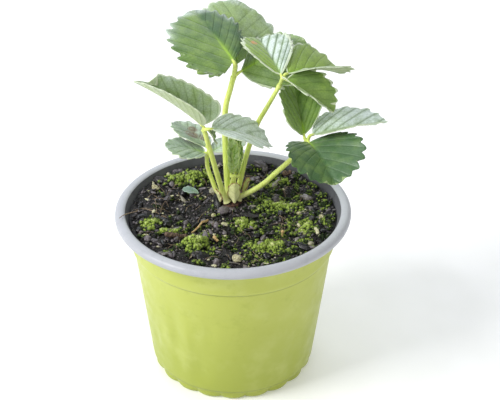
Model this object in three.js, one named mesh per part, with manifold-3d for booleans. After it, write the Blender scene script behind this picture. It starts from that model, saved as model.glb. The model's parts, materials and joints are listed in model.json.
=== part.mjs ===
// A strawberry plant in a thermoformed nursery pot. Millimetres, +Z up, the pot stands on z = 0.
// The pot's axis is x = y = 0 while the pieces are made; the finished group is then centred on its own box.
import * as THREE from 'three';
import { mergeVertices } from 'three/addons/utils/BufferGeometryUtils.js';
import Module from 'manifold-3d';

const wasm = await Module();
wasm.setup();

// ---------------------------------------------------------------- driving dimensions
const GAP = 0.35; // between a piece and what carries it

const POT = {
  height: 100,
  rimRadius: 65.2, // outermost edge of the rolled rim
  crestRadius: 62, // top of the rim's roll
  mouthRadius: 58.4, // inner edge of the rim
  rimDepth: 5.2,
  collarRadius: 57.0, // stacking collar under the rim
  collarFlare: 0.5, // the collar is this much wider under the rim
  stepHeight: 79, // where the collar ends
  stepRound: 2,
  waistRadius: 55.3, // body just under the collar
  footRadius: 46.8, // body at the crease above the foot
  creaseHeight: 5.8,
  footBulge: 46, // the foot is widest here, at 3 mm up
  standOuter: 43.5, // the ring that it stands on
  standInner: 38.5,
  wall: 1.1,
  floorRadius: 36,
  floorUnderside: 2.6,
  floorTop: 4.2,
  lobes: 20, // scallops round the foot
  lobeDepth: 1.9,
  rimTiltDegrees: 0.8, // the soft rim sits a little lower on the -X side
  tiltFrom: 55, // height where that tilt begins
  segments: 80,
};

const DRAIN = { count: 8, radius: 3.2, circle: 30, sides: 12 };

const SOIL = {
  edge: 92.4, // level at the wall
  mound: 1.8,
  moundSpread: 17,
  ripple: 0.55,
  longWave: [0.21, 0.17], // radians to a millimetre, along X and Y
  shortWave: [0.33, 0.27],
  clearance: 2 * GAP, // to the wall
  bottomRadius: 39,
  rings: [1, 0.93, 0.84, 0.75, 0.66, 0.57, 0.48, 0.39, 0.3, 0.22, 0.15, 0.08],
  segments: 44,
};

const CROWN = { x: -1.1, y: 11.5, seat: 94.2, radius: 5.8, height: 2.4, sides: 16 };
const SEAT = { flat: 1, blend: 5 }; // level ground round the crown, and where the open soil begins

const BLADE = {
  thickness: 0.8,
  stubRadius: 0.9, // where its own short stalk meets it
  toothDepth: 0.07, // as a part of the half width
  firstRow: 0.08, // of the length, where the full outline starts
  lastRow: 0.992,
  rows: 14,
  columns: 4,
};

// A leaflet heads away from its base (heading from +X, rise from level, roll about its own rib, degrees).
// left and right are its half widths, peak says how far along each half is widest, and back how far
// its margin reaches behind the base; fold lifts the halves from the rib, cup curls them and arch
// bows the rib downwards.
const LEAF_1 = {
  stalk: [
    [-2.7, 15, 97.6], [-2.9, 15.7, 101], [-3.9, 18, 119], [-4.4, 21.5, 141], [-3.8, 23.5, 150.4],
    [-1.6, 25.5, 158.6], [0.4, 27.2, 166],
  ],
  stalkRadius: [1.8, 1.45],
  leaflets: {
    left: {
      base: [0, 22.3, 177.6], heading: 121.5, rise: 24, roll: 0, length: 44, left: 26.5, right: 19.3,
      peakLeft: 0.49, peakRight: 0.61, arch: 11.5, foldLeft: 3, foldRight: -1, cup: -9,
      backLeft: 0.7, backRight: -0.06,
    },
    top: {
      base: [1.8, 35.8, 168.8], heading: 84, rise: 31.5, roll: 14.5, length: 43.3, left: 21.4,
      right: 18, peakLeft: 0.65, peakRight: 0.49, arch: 8.5, foldLeft: 2, foldRight: -29, cup: -8,
      backLeft: 0.08, backRight: 0.12,
    },
    right: {
      base: [4.4, 27.6, 168.8], heading: 30.5, rise: 18, roll: 7, length: 41.8, left: 22,
      right: 22.8, peakLeft: 0.6, peakRight: 0.49, arch: 9, foldLeft: -2, foldRight: -18, cup: -13,
      backLeft: -0.12, backRight: 0.13,
    },
  },
};

const LEAF_2 = {
  stalk: [
    [1.3, 14.7, 97.6], [3.2, 15.4, 103.6], [6.7, 17.5, 119], [9.2, 20.4, 127.2], [13.7, 22, 140.2],
    [18, 20.8, 149.4], [21.6, 17.8, 158.2], [25.2, 16, 166.6],
  ],
  stalkRadius: [1.6, 1.15],
  leaflets: {
    left: {
      base: [25.5, 15, 172.8], heading: 107, rise: 14, roll: -1, length: 38.4, left: 16, right: 15.2,
      peakLeft: 0.62, peakRight: 0.63, arch: 16, foldLeft: 28, foldRight: 27, cup: -9, backLeft: 0.07,
      backRight: -0.13,
    },
    top: {
      base: [29, 15.6, 173.2], heading: 37, rise: -1, roll: -5, length: 42, left: 21.5, right: 20.4,
      peakLeft: 0.51, peakRight: 0.57, arch: 17, foldLeft: 33, foldRight: 38, cup: -10,
      backLeft: -0.12, backRight: 0.05,
    },
    right: {
      base: [28.1, 10, 172.4], heading: -20, rise: -27, roll: -1, length: 30.5, left: 18, right: 19,
      peakLeft: 0.44, peakRight: 0.54, arch: 5, foldLeft: 31, foldRight: 35, cup: -12, backLeft: 0.06,
      backRight: 0.2,
    },
  },
};

const LEAF_3 = {
  stalk: [
    [3.1, 10.9, 97.7], [3.8, 10.9, 99.2], [7.2, 10.8, 101.2], [12.3, 10, 104.8], [17.8, 9, 109.8],
    [23.1, 8, 116], [28.5, 7, 122.2], [34.8, 5.5, 130], [40, 4.5, 137.2],
  ],
  stalkRadius: [1.6, 1.3],
  leaflets: {
    left: {
      base: [38.3, 6, 141.3], heading: 98, rise: 32, roll: 6, length: 38, left: 15.4, right: 15.5,
      peakLeft: 0.55, peakRight: 0.61, arch: 14, foldLeft: 36, foldRight: 35, cup: 0, backLeft: 0.25,
      backRight: -0.04,
    },
    right: {
      base: [43, 4.4, 142.3], heading: 12, rise: 11, roll: -6, length: 41, left: 18, right: 18,
      peakLeft: 0.42, peakRight: 0.58, arch: 12, foldLeft: 18, foldRight: 18, cup: -8, backLeft: 0.05,
      backRight: 0.1,
    },
    front: {
      base: [40.9, 2, 138.8], heading: -71, rise: 6, roll: 4, length: 36.5, left: 24.2, right: 22.5,
      peakLeft: 0.54, peakRight: 0.64, arch: 33, foldLeft: 14, foldRight: 17, cup: 14, backLeft: 0.11,
      backRight: 0.27,
    },
  },
};

const LEAF_4 = {
  stalk: [
    [-3.3, 8.2, 97.6], [-4.0, 8.2, 99.5], [-6.1, 7.5, 106], [-9.3, 5, 120], [-12.4, 3, 133.7],
    [-14.4, 2, 142.3], [-15.6, 1.6, 147],
  ],
  stalkRadius: [1.7, 1.25],
  leaflets: {
    left: {
      base: [-16.6, 1.4, 149.6], heading: 201.5, rise: 48.5, roll: -36, length: 47, left: 17.4,
      right: 16.5, peakLeft: 0.35, peakRight: 0.35, arch: 20, foldLeft: 55, foldRight: 66, cup: 14,
      backLeft: 0.01, backRight: 0.2,
    },
    right: {
      base: [-11.2, -0.2, 148.4], heading: 16.5, rise: -8.5, roll: 5, length: 35.6, left: 15.6,
      right: 16.5, peakLeft: 0.68, peakRight: 0.53, arch: 30, foldLeft: 17, foldRight: 15, cup: -12,
      backLeft: 0.11, backRight: 0.07,
    },
    back: {
      base: [-13.2, 3.6, 145.6], heading: 60, rise: -50, roll: 60, length: 14, left: 4.5, right: 4.5,
      peakLeft: 0.6, peakRight: 0.6, arch: 10, foldLeft: 20, foldRight: 20, cup: 0, backLeft: 0,
      backRight: 0,
    },
  },
};

const LEAF_5 = {
  stalk: [
    [-5.0, 11.9, 97.6], [-5.6, 12.2, 98.8], [-9, 14.5, 100.8], [-11.7, 17, 106.6], [-14.3, 19.5, 114.2],
    [-14.6, 21.6, 119.4],
  ],
  stalkRadius: [1.5, 1.1],
  leaflets: {
    front: {
      base: [-15.4, 20.2, 122.2], heading: 182, rise: 22, roll: 2, length: 23, left: 13, right: 11.5,
      peakLeft: 0.55, peakRight: 0.56, arch: 14, foldLeft: 4, foldRight: 4, cup: -11, backLeft: 0.1,
      backRight: 0.1,
    },
    left: {
      base: [-14.8, 24.6, 123.4], heading: 129, rise: 18, roll: 16, length: 26.6, left: 12, right: 11.6,
      peakLeft: 0.58, peakRight: 0.6, arch: 11, foldLeft: 8, foldRight: 7, cup: -9, backLeft: 0.05,
      backRight: 0.1,
    },
    right: {
      base: [-12.3, 24.4, 120.7], heading: 42, rise: 4, roll: -4, length: 24, left: 9.3, right: 9,
      peakLeft: 0.62, peakRight: 0.58, arch: 13, foldLeft: 8, foldRight: 8, cup: -11, backLeft: 0.02,
      backRight: 0.1,
    },
  },
};

// Pleats of the leaf that is still opening: each is folded shut, and its ridge faces the front.
const PLEAT_THICKNESS = 1.4; // both halves pressed together
const pleat = (base, heading, length) => ({
  base, heading, rise: 84, roll: 90, length, left: 6.4, right: 0.9, peakLeft: 0.5, peakRight: 0.5,
  arch: 0, foldLeft: 0, foldRight: 0, cup: 0, backLeft: 0, backRight: 0,
});

const YOUNG_LEAF = {
  stalk: [[-0.7, 11.3, 97.6], [-0.5, 11.2, 104.7], [0.2, 11, 110], [0.6, 10.9, 113]],
  stalkRadius: [1.3, 1.1],
  leaflets: {
    left: pleat([-1.6, 10.2, 115.5], -78, 20),
    middle: pleat([0.7, 9.8, 116], -90, 23),
    right: pleat([3.0, 10.4, 115.5], -102, 21),
  },
};

// Sheathing scales round the crown, laid out like small folded leaflets.
const STIPULES = [
  { x: 0.3, y: 7.2, heading: -70, rise: 80, length: 11, half: 3.0 },
  { x: -6.9, y: 9.0, heading: 205, rise: 60, length: 9, half: 2.4 },
  { x: 5.6, y: 14.6, heading: 30, rise: 64, length: 12, half: 2.8 },
];

const MOSS_PADS = [
  { x: -27, y: 38.5, length: 25, width: 13, height: 2.6, turn: 12 },
  { x: -45, y: -9.5, length: 13, width: 9, height: 1.8, turn: 80 },
  { x: -33.5, y: -15.5, length: 13, width: 7, height: 1.5, turn: 20 },
  { x: -19.5, y: -29, length: 16, width: 15, height: 4.2, turn: 0 },
  { x: 6.5, y: -10, length: 13, width: 10, height: 1.8, turn: 100 },
  { x: 26, y: 11, length: 24, width: 11, height: 2.2, turn: -12 },
  { x: 39, y: -12.5, length: 17, width: 10, height: 1.8, turn: 60 },
  { x: 21, y: -31, length: 27, width: 13, height: 2.3, turn: 10 },
  { x: 25, y: 34, length: 15, width: 7, height: 1.6, turn: 5 },
];

const STONES = [
  { x: 2, y: -46.5, size: 2.6 },
  { x: -44.5, y: 27.5, size: 2.2 },
  { x: -11, y: 1.5, size: 1.7 },
  { x: 48.5, y: -4, size: 1.8 },
  { x: 37, y: 2.5, size: 1.6 },
  { x: -47, y: -22.5, size: 1.9 },
];

const CHIPS = [
  { name: 'bark_twig', from: [-35, -24.5], to: [-25.5, -21.5], radius: 1.3 },
  { name: 'straw', from: [-13.6, -5.5], to: [-22.5, -17], radius: 0.7 },
  { name: 'bark_chip', from: [29, 41.5], to: [33.5, 40], radius: 1.7 },
  { name: 'seed_husk', from: [-10.5, -23.5], to: [-8, -25.5], radius: 1.1 },
];

const SEEDLING = { x: -19.5, y: 21.5, heading: 172, rise: 22, length: 9.5, half: 4.2 };

// ---------------------------------------------------------------- materials
const finish = (color, roughness) => new THREE.MeshStandardMaterial({ color, roughness, metalness: 0 });

const FINISHES = {
  pot: finish(0xb4c262, 0.45),
  soil: finish(0x2a2320, 1.0),
  crown: finish(0x9a6a4a, 0.8),
  stalk: finish(0xc8d75a, 0.55),
  leaf: finish(0x70965a, 0.5),
  youngLeaf: finish(0x7fb23c, 0.5),
  stipule: finish(0xc9b878, 0.7),
  moss: finish(0x8cab3a, 0.95),
  stone: finish(0xcfc09a, 0.85),
  bark: finish(0x6e5138, 0.9),
  straw: finish(0xc9a868, 0.8),
  seedling: finish(0x6f8f7c, 0.6),
};

// ---------------------------------------------------------------- solids
const vector = (point) => new THREE.Vector3(...point);
const lerp = THREE.MathUtils.lerp;
const radians = THREE.MathUtils.degToRad;
const smooth = (value, low, high) => THREE.MathUtils.smoothstep(value, low, high);

/** Turns a geometry inside out where its signed volume is negative. */
function facingOut(geometry) {
  const position = geometry.attributes.position;
  const index = geometry.index.array;
  const a = new THREE.Vector3();
  const b = new THREE.Vector3();
  const c = new THREE.Vector3();
  let volume = 0;
  for (let i = 0; i < index.length; i += 3) {
    a.fromBufferAttribute(position, index[i]);
    b.fromBufferAttribute(position, index[i + 1]);
    c.fromBufferAttribute(position, index[i + 2]);
    volume += a.dot(b.cross(c));
  }
  if (volume < 0) {
    for (let i = 0; i < index.length; i += 3) {
      [index[i + 1], index[i + 2]] = [index[i + 2], index[i + 1]];
    }
  }
  geometry.computeVertexNormals();
  return geometry;
}

/** A closed solid through rings of equally many points, its two ends closed by fans. */
function loft(rings) {
  const count = rings[0].length;
  const points = rings.flat();
  const faces = [];
  for (let i = 0; i < rings.length - 1; i += 1) {
    for (let j = 0; j < count; j += 1) {
      const k = (j + 1) % count;
      const [a, b, c, d] = [i * count + j, i * count + k, (i + 1) * count + k, (i + 1) * count + j];
      faces.push(a, b, c, a, c, d);
    }
  }
  const closeEnd = (ring, first, flipped) => {
    const centre = ring.reduce((sum, p) => sum.add(p), new THREE.Vector3()).divideScalar(count);
    const hub = points.push(centre) - 1;
    for (let j = 0; j < count; j += 1) {
      const k = (j + 1) % count;
      faces.push(...(flipped ? [hub, first + k, first + j] : [hub, first + j, first + k]));
    }
  };
  closeEnd(rings[0], 0, true);
  closeEnd(rings[rings.length - 1], (rings.length - 1) * count, false);
  const geometry = new THREE.BufferGeometry().setFromPoints(points);
  geometry.setIndex(faces);
  return facingOut(geometry);
}

/** A closed round bar along a smooth curve, its radius changing evenly from end to end. */
function bar(points, [startRadius, endRadius], sides = 6, steps = 2 * (points.length - 1)) {
  const curve = new THREE.CatmullRomCurve3(points.map(vector), false, 'centripetal');
  const frames = curve.computeFrenetFrames(steps, false);
  const rings = [];
  for (let i = 0; i <= steps; i += 1) {
    const centre = curve.getPointAt(i / steps);
    const radius = lerp(startRadius, endRadius, i / steps);
    rings.push(
      Array.from({ length: sides }, (_, j) => {
        const angle = (2 * Math.PI * j) / sides;
        return centre
          .clone()
          .addScaledVector(frames.normals[i], radius * Math.cos(angle))
          .addScaledVector(frames.binormals[i], radius * Math.sin(angle));
      }),
    );
  }
  return loft(rings);
}

function toManifold(geometry) {
  const plain = geometry.clone();
  plain.deleteAttribute('normal');
  plain.deleteAttribute('uv');
  const merged = mergeVertices(plain, 1e-4);
  return new wasm.Manifold(
    new wasm.Mesh({
      numProp: 3,
      vertProperties: new Float32Array(merged.attributes.position.array),
      triVerts: new Uint32Array(merged.index.array),
    }),
  );
}

function fromManifold(solid) {
  const { vertProperties, triVerts } = solid.getMesh();
  const geometry = new THREE.BufferGeometry();
  geometry.setAttribute('position', new THREE.BufferAttribute(vertProperties, 3));
  geometry.setIndex(new THREE.BufferAttribute(triVerts, 1));
  geometry.computeVertexNormals();
  return geometry;
}

/** Joins overlapping closed geometries into one body. */
function joined(geometries) {
  return fromManifold(geometries.map(toManifold).reduce((all, next) => all.add(next)));
}

// ---------------------------------------------------------------- pot
/** Inside radius of the pot's wall at a height. */
function insideRadius(z) {
  const climb = (z - POT.creaseHeight) / (POT.stepHeight - POT.creaseHeight);
  const body = lerp(POT.footRadius, POT.waistRadius, climb);
  const collar = POT.collarRadius - POT.wall;
  return lerp(body - POT.wall, collar, smooth(z, POT.stepHeight - 1, POT.stepHeight + POT.stepRound));
}

/** How much the soft rim's tilt lifts a point. */
function tiltLift(x, z) {
  return x * Math.tan(radians(POT.rimTiltDegrees)) * smooth(z, POT.tiltFrom, POT.height - POT.rimDepth);
}

function buildPot() {
  const { height, footRadius, footBulge, creaseHeight, stepHeight, stepRound, segments } = POT;
  const { collarRadius, collarFlare, rimRadius, rimDepth, crestRadius, mouthRadius } = POT;
  const underRim = height - rimDepth;
  const step = stepHeight + stepRound;
  // radius, height and how strongly the foot's scallops reach the point
  const foot = [
    [POT.floorRadius, POT.floorUnderside, 0],
    [POT.standInner, 0, 0],
    [POT.standOuter, 0, 0.9],
    [footBulge - 0.8, 0.9, 1],
    [footBulge, 3, 0.7],
    [footRadius - 0.5, creaseHeight - 0.4, 0],
    [footRadius, creaseHeight + 0.6, 0],
  ];
  const collar = [
    [POT.waistRadius, stepHeight - 0.8, 0],
    [collarRadius - 0.6, stepHeight + 0.6, 0],
    [collarRadius, step, 0],
    [collarRadius + collarFlare, underRim, 0],
  ];
  const rim = [
    [crestRadius + 0.6, underRim, 0],
    [rimRadius - 0.7, underRim + 0.8, 0],
    [rimRadius, height - 0.5 * rimDepth, 0],
    [rimRadius - 0.9, height - 0.9, 0],
    [crestRadius, height, 0],
    [mouthRadius + 1.2, height - 0.3, 0],
    [mouthRadius, height - 1.4, 0],
  ];
  const inside = [
    [insideRadius(underRim) + collarFlare, underRim - 0.8, 0],
    [insideRadius(step), step, 0],
    [insideRadius(stepHeight - 1), stepHeight - 1, 0],
    [insideRadius(creaseHeight) - 0.4, creaseHeight, 0],
    [POT.floorRadius + 4, POT.floorTop, 0],
  ];
  const profile = [...foot, ...collar, ...rim, ...inside];
  const rings = profile.map(([radius, z, scallop]) =>
    Array.from({ length: segments }, (_, j) => {
      const angle = (2 * Math.PI * j) / segments;
      const lobe = Math.abs(Math.cos((POT.lobes * angle) / 2));
      const r = radius - POT.lobeDepth * scallop * (1 - lobe);
      const x = r * Math.cos(angle);
      return new THREE.Vector3(x, r * Math.sin(angle), z + tiltLift(x, z));
    }),
  );
  const shell = toManifold(loft(rings));
  const holes = Array.from({ length: DRAIN.count }, (_, i) => {
    const angle = (2 * Math.PI * (i + 0.5)) / DRAIN.count;
    const hole = new THREE.CylinderGeometry(DRAIN.radius, DRAIN.radius, 3 * POT.floorTop, DRAIN.sides);
    hole.rotateX(Math.PI / 2);
    hole.translate(DRAIN.circle * Math.cos(angle), DRAIN.circle * Math.sin(angle), POT.floorTop / 2);
    return toManifold(hole);
  });
  return fromManifold(holes.reduce((rest, hole) => rest.subtract(hole), shell));
}

// ---------------------------------------------------------------- soil and what lies on it
/** Height of the soil's surface, flattened where the crown stands. */
function soilHeight(x, y) {
  const fromCrown = Math.hypot(x - CROWN.x, y - CROWN.y);
  const mound = SOIL.mound * Math.exp(-0.5 * (fromCrown / SOIL.moundSpread) ** 2);
  const long = Math.sin(SOIL.longWave[0] * x + 0.5) * Math.cos(SOIL.longWave[1] * y);
  const short = Math.sin(SOIL.shortWave[0] * x - SOIL.shortWave[1] * y);
  const open = SOIL.edge + mound + SOIL.ripple * (long + 0.6 * short);
  return lerp(CROWN.seat, open, smooth(fromCrown, CROWN.radius + SEAT.flat, CROWN.radius + SEAT.blend));
}

function soilRing(radius, z) {
  return Array.from({ length: SOIL.segments }, (_, j) => {
    const angle = (2 * Math.PI * j) / SOIL.segments;
    const x = radius * Math.cos(angle);
    const y = radius * Math.sin(angle);
    return new THREE.Vector3(x, y, z === undefined ? soilHeight(x, y) : z);
  });
}

function buildSoil() {
  const bottom = POT.floorTop + GAP;
  const side = (z) => insideRadius(z) - SOIL.clearance;
  const step = POT.stepHeight;
  const topRadius = side(SOIL.edge);
  return loft([
    soilRing(SOIL.bottomRadius, bottom),
    soilRing(side(POT.creaseHeight) - 1.2, bottom + 1.4),
    soilRing(side(step - 2), step - 2),
    soilRing(side(step + POT.stepRound + 1), step + POT.stepRound + 1),
    ...SOIL.rings.map((part) => soilRing(topRadius * part)),
  ]);
}

/** A low cushion that follows the soil under it. */
function buildMoss({ x, y, length, width, height, turn }, segments = 12) {
  const angle = radians(turn);
  const ring = (fraction, lift) =>
    Array.from({ length: segments }, (_, j) => {
      const t = (2 * Math.PI * j) / segments;
      const ragged = 1 + 0.09 * Math.sin(3 * t + x) + 0.06 * Math.sin(5 * t + y);
      const along = 0.5 * length * fraction * ragged * Math.cos(t);
      const across = 0.5 * width * fraction * ragged * Math.sin(t);
      const px = x + along * Math.cos(angle) - across * Math.sin(angle);
      const py = y + along * Math.sin(angle) + across * Math.cos(angle);
      return new THREE.Vector3(px, py, soilHeight(px, py) + GAP + lift);
    });
  return loft([
    ring(0.3, 0), ring(0.65, 0), ring(1, 0.15), ring(0.92, 0.5 * height), ring(0.7, 0.85 * height),
    ring(0.4, height), ring(0.15, 1.04 * height),
  ]);
}

/** A flattened pebble, turned by its own place so that no two lie alike. */
function buildStone({ x, y, size }) {
  const stone = new THREE.IcosahedronGeometry(size, 1);
  const flatness = 0.75;
  stone.scale(1.25, 0.95, flatness);
  stone.rotateZ(x);
  stone.translate(x, y, soilHeight(x, y) + (flatness + 0.05) * size + GAP);
  stone.deleteAttribute('normal');
  stone.deleteAttribute('uv');
  return facingOut(mergeVertices(stone, 1e-4));
}

/** A stick that lies on the soil between two points. */
function buildChip({ from, to, radius }) {
  const points = [0, 0.33, 0.67, 1].map((t) => {
    const x = lerp(from[0], to[0], t);
    const y = lerp(from[1], to[1], t);
    return [x, y, soilHeight(x, y) + radius + GAP];
  });
  return bar(points, [radius, 0.6 * radius], 6);
}

// ---------------------------------------------------------------- plant
/** Half width of a leaflet at u along its rib, as a part of its widest. */
function outline(u, peak) {
  if (u < peak) {
    return (1 - (1 - u / peak) ** 1.9) ** 0.75;
  }
  return Math.sqrt(Math.max(0, 1 - ((u - peak) / (1 - peak)) ** 2.2));
}

/** Places of a leaflet's surface: u along the rib, v from -1 (right margin) to 1 (left margin). */
class Blade {
  constructor(sizes) {
    this.sizes = sizes;
    const heading = radians(sizes.heading);
    const rise = radians(sizes.rise);
    const roll = radians(sizes.roll);
    this.along = new THREE.Vector3(
      Math.cos(heading) * Math.cos(rise),
      Math.sin(heading) * Math.cos(rise),
      Math.sin(rise),
    );
    const level = new THREE.Vector3(-Math.sin(heading), Math.cos(heading), 0);
    const raised = this.along.clone().cross(level);
    this.across = level.multiplyScalar(Math.cos(roll)).addScaledVector(raised, Math.sin(roll));
    this.up = this.along.clone().cross(this.across);
  }

  point(u, v, widthFactor = 1) {
    const s = this.sizes;
    const isLeft = v >= 0;
    const arch = radians(s.arch) || 1e-6;
    const cup = radians(s.cup) || 1e-6;
    const fold = radians(isLeft ? s.foldLeft : s.foldRight);
    const shape = outline(u, isLeft ? s.peakLeft : s.peakRight);
    const width = (isLeft ? s.left : s.right) * shape * widthFactor;
    const t = Math.abs(v);
    const side = Math.sign(v) * width * ((Math.sin(fold + cup * t) - Math.sin(fold)) / cup);
    const lift = width * ((Math.cos(fold) - Math.cos(fold + cup * t)) / cup);
    const back = (isLeft ? s.backLeft : s.backRight) * shape * s.length * (1 - u) ** 2 * t;
    const bend = arch * u;
    const x = (s.length * Math.sin(bend)) / arch + lift * Math.sin(bend) - back * Math.cos(bend);
    const z = (-s.length * (1 - Math.cos(bend))) / arch + lift * Math.cos(bend) + back * Math.sin(bend);
    return vector(s.base)
      .addScaledVector(this.along, x)
      .addScaledVector(this.across, side)
      .addScaledVector(this.up, z);
  }

  normal(u, v) {
    const step = 1e-3;
    const at = Math.min(Math.max(u, 0.03), 0.97);
    const rib = this.point(at + step, v).sub(this.point(at - step, v));
    const inner = Math.abs(v) < 1e-9 ? 0.05 : v;
    const outer = Math.abs(v) < 1e-9 ? -inner : v;
    const spanwise = this.point(at, inner + step).sub(this.point(at, outer - step));
    return rib.cross(spanwise).normalize();
  }
}

/** A toothed leaflet as a thin closed solid that starts in a small stub; its rows crowd at the tip. */
function buildBlade(sizes, { thickness, stubRadius, toothDepth, firstRow, lastRow, rows, columns } = BLADE) {
  const blade = new Blade(sizes);
  const stub = Array.from({ length: 2 * columns }, (_, j) => {
    const angle = Math.PI - (Math.PI * j) / columns;
    return vector(sizes.base)
      .addScaledVector(blade.across, stubRadius * Math.cos(angle))
      .addScaledVector(blade.up, stubRadius * Math.sin(angle));
  });
  const rings = [stub];
  for (let i = 0; i < rows; i += 1) {
    const u = lerp(lastRow, firstRow, (1 - i / (rows - 1)) ** 1.4);
    const factor = i % 2 ? 1 : 1 - toothDepth;
    const top = [];
    const bottom = [];
    for (let j = 0; j <= columns; j += 1) {
      const v = -1 + (2 * j) / columns;
      const half = 0.5 * thickness * (1 - v ** 4);
      const middle = blade.point(u, v, factor);
      const normal = blade.normal(u, v);
      top.push(middle.clone().addScaledVector(normal, half));
      bottom.push(middle.clone().addScaledVector(normal, -half));
    }
    rings.push([...top, ...bottom.slice(1, -1).reverse()]);
  }
  return loft(rings);
}

/** A leaf's stalk with a short stalk to each leaflet, grown as one. */
function buildStalk({ stalk, stalkRadius, leaflets }) {
  const end = stalk[stalk.length - 1];
  const branches = Object.values(leaflets).map((sizes) => {
    const { along } = new Blade(sizes);
    const before = (distance) => vector(sizes.base).addScaledVector(along, -distance).toArray();
    return bar([end, before(1.6), before(GAP)], [0.8 * stalkRadius[1], 0.75], 6, 5);
  });
  const knuckle = new THREE.IcosahedronGeometry(1.05 * stalkRadius[1], 1);
  knuckle.translate(...end);
  return joined([bar(stalk, stalkRadius), knuckle, ...branches]);
}

function buildCrown() {
  const { x, y, seat, radius, height } = CROWN;
  const ring = (r, z) =>
    Array.from({ length: CROWN.sides }, (_, j) => {
      const t = (2 * Math.PI * j) / CROWN.sides;
      const lumpy = r * (1 + 0.05 * Math.sin(3 * t) + 0.04 * Math.sin(5 * t));
      return new THREE.Vector3(x + lumpy * Math.cos(t), y + lumpy * Math.sin(t), z);
    });
  const bottom = seat + GAP;
  return loft([
    ring(0.86 * radius, bottom),
    ring(radius, bottom + 0.3 * height),
    ring(0.98 * radius, bottom + 0.8 * height),
    ring(0.93 * radius, bottom + height),
  ]);
}

function buildStipule({ x, y, heading, rise, length, half }) {
  return buildBlade(
    {
      base: [x, y, CROWN.seat + CROWN.height + 2 * GAP], heading, rise, roll: 0, length,
      left: half, right: half, peakLeft: 0.35, peakRight: 0.35, arch: -10, foldLeft: 30,
      foldRight: 30, cup: 10, backLeft: 0, backRight: 0,
    },
    { ...BLADE, toothDepth: 0, rows: 8 },
  );
}

function buildSeedling({ x, y, heading, rise, length, half }) {
  return buildBlade(
    {
      base: [x, y, soilHeight(x, y) + BLADE.stubRadius + GAP], heading, rise, roll: 8, length,
      left: half, right: half, peakLeft: 0.55, peakRight: 0.55, arch: 20, foldLeft: 12, foldRight: 12,
      cup: -10, backLeft: 0, backRight: 0,
    },
    { ...BLADE, toothDepth: 0, rows: 8 },
  );
}

// ---------------------------------------------------------------- scene graph
const plant = new THREE.Group();

function add(name, geometry, material) {
  const mesh = new THREE.Mesh(geometry, material);
  mesh.name = name;
  plant.add(mesh);
}

add('pot', buildPot(), FINISHES.pot);
add('soil', buildSoil(), FINISHES.soil);
add('crown', buildCrown(), FINISHES.crown);

const LEAVES = { 1: LEAF_1, 2: LEAF_2, 3: LEAF_3, 4: LEAF_4, 5: LEAF_5 };
for (const [number, leaf] of Object.entries(LEAVES)) {
  add(`stalk_${number}`, buildStalk(leaf), FINISHES.stalk);
  for (const [place, sizes] of Object.entries(leaf.leaflets)) {
    add(`leaflet_${number}_${place}`, buildBlade(sizes), FINISHES.leaf);
  }
}

add('young_stalk', buildStalk(YOUNG_LEAF), FINISHES.stalk);
for (const [place, sizes] of Object.entries(YOUNG_LEAF.leaflets)) {
  const geometry = buildBlade(sizes, { ...BLADE, thickness: PLEAT_THICKNESS });
  add(`young_leaflet_${place}`, geometry, FINISHES.youngLeaf);
}

STIPULES.forEach((stipule, i) => add(`stipule_${i + 1}`, buildStipule(stipule), FINISHES.stipule));
MOSS_PADS.forEach((pad, i) => add(`moss_${i + 1}`, buildMoss(pad), FINISHES.moss));
STONES.forEach((stone, i) => add(`stone_${i + 1}`, buildStone(stone), FINISHES.stone));
for (const chip of CHIPS) {
  add(chip.name, buildChip(chip), chip.name === 'straw' ? FINISHES.straw : FINISHES.bark);
}
add('seedling', buildSeedling(SEEDLING), FINISHES.seedling);

const box = new THREE.Box3().setFromObject(plant);
plant.position.set(-0.5 * (box.min.x + box.max.x), -0.5 * (box.min.y + box.max.y), -box.min.z);

export default plant;
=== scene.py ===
"""Looks of a potted strawberry plant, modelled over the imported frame. Metres, +Z up."""
import json
import logging
from contextlib import contextmanager
from dataclasses import dataclass, field, replace
from enum import Enum
from functools import cache
from math import cos, exp, hypot, pi, radians, sin, sqrt, tan
from typing import Callable, Iterable, Iterator, Optional, Sequence

import bpy
import numpy as np
from mathutils import Matrix, Vector, noise

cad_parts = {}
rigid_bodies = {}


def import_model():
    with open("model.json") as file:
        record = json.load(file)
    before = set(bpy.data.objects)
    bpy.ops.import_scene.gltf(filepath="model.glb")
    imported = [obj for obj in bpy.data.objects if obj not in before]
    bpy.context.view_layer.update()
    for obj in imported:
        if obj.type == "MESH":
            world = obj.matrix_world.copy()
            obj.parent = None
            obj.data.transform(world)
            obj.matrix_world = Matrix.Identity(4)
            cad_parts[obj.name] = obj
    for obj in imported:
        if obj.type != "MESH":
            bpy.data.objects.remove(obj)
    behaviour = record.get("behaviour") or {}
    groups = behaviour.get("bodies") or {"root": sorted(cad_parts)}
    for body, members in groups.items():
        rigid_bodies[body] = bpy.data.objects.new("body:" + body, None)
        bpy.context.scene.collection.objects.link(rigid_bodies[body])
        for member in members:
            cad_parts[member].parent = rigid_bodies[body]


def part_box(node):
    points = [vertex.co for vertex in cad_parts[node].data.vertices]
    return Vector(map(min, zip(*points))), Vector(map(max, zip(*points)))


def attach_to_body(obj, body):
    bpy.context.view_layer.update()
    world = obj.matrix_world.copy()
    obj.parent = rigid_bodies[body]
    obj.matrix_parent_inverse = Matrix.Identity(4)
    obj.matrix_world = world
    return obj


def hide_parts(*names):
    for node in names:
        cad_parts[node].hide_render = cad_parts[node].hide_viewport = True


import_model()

MM = 0.001
# millimetres within which the two ends of a turned shape are one
SEAM = 0.001
ROOT = "root"
log = logging.getLogger("strawberry")

Pair = tuple[float, float]
Point = tuple[float, float, float]
Faces = list[tuple[int, ...]]
Array = np.ndarray
Generator = np.random.Generator
Piece = bpy.types.Object
Material = bpy.types.Material
Socket = bpy.types.NodeSocket


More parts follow.
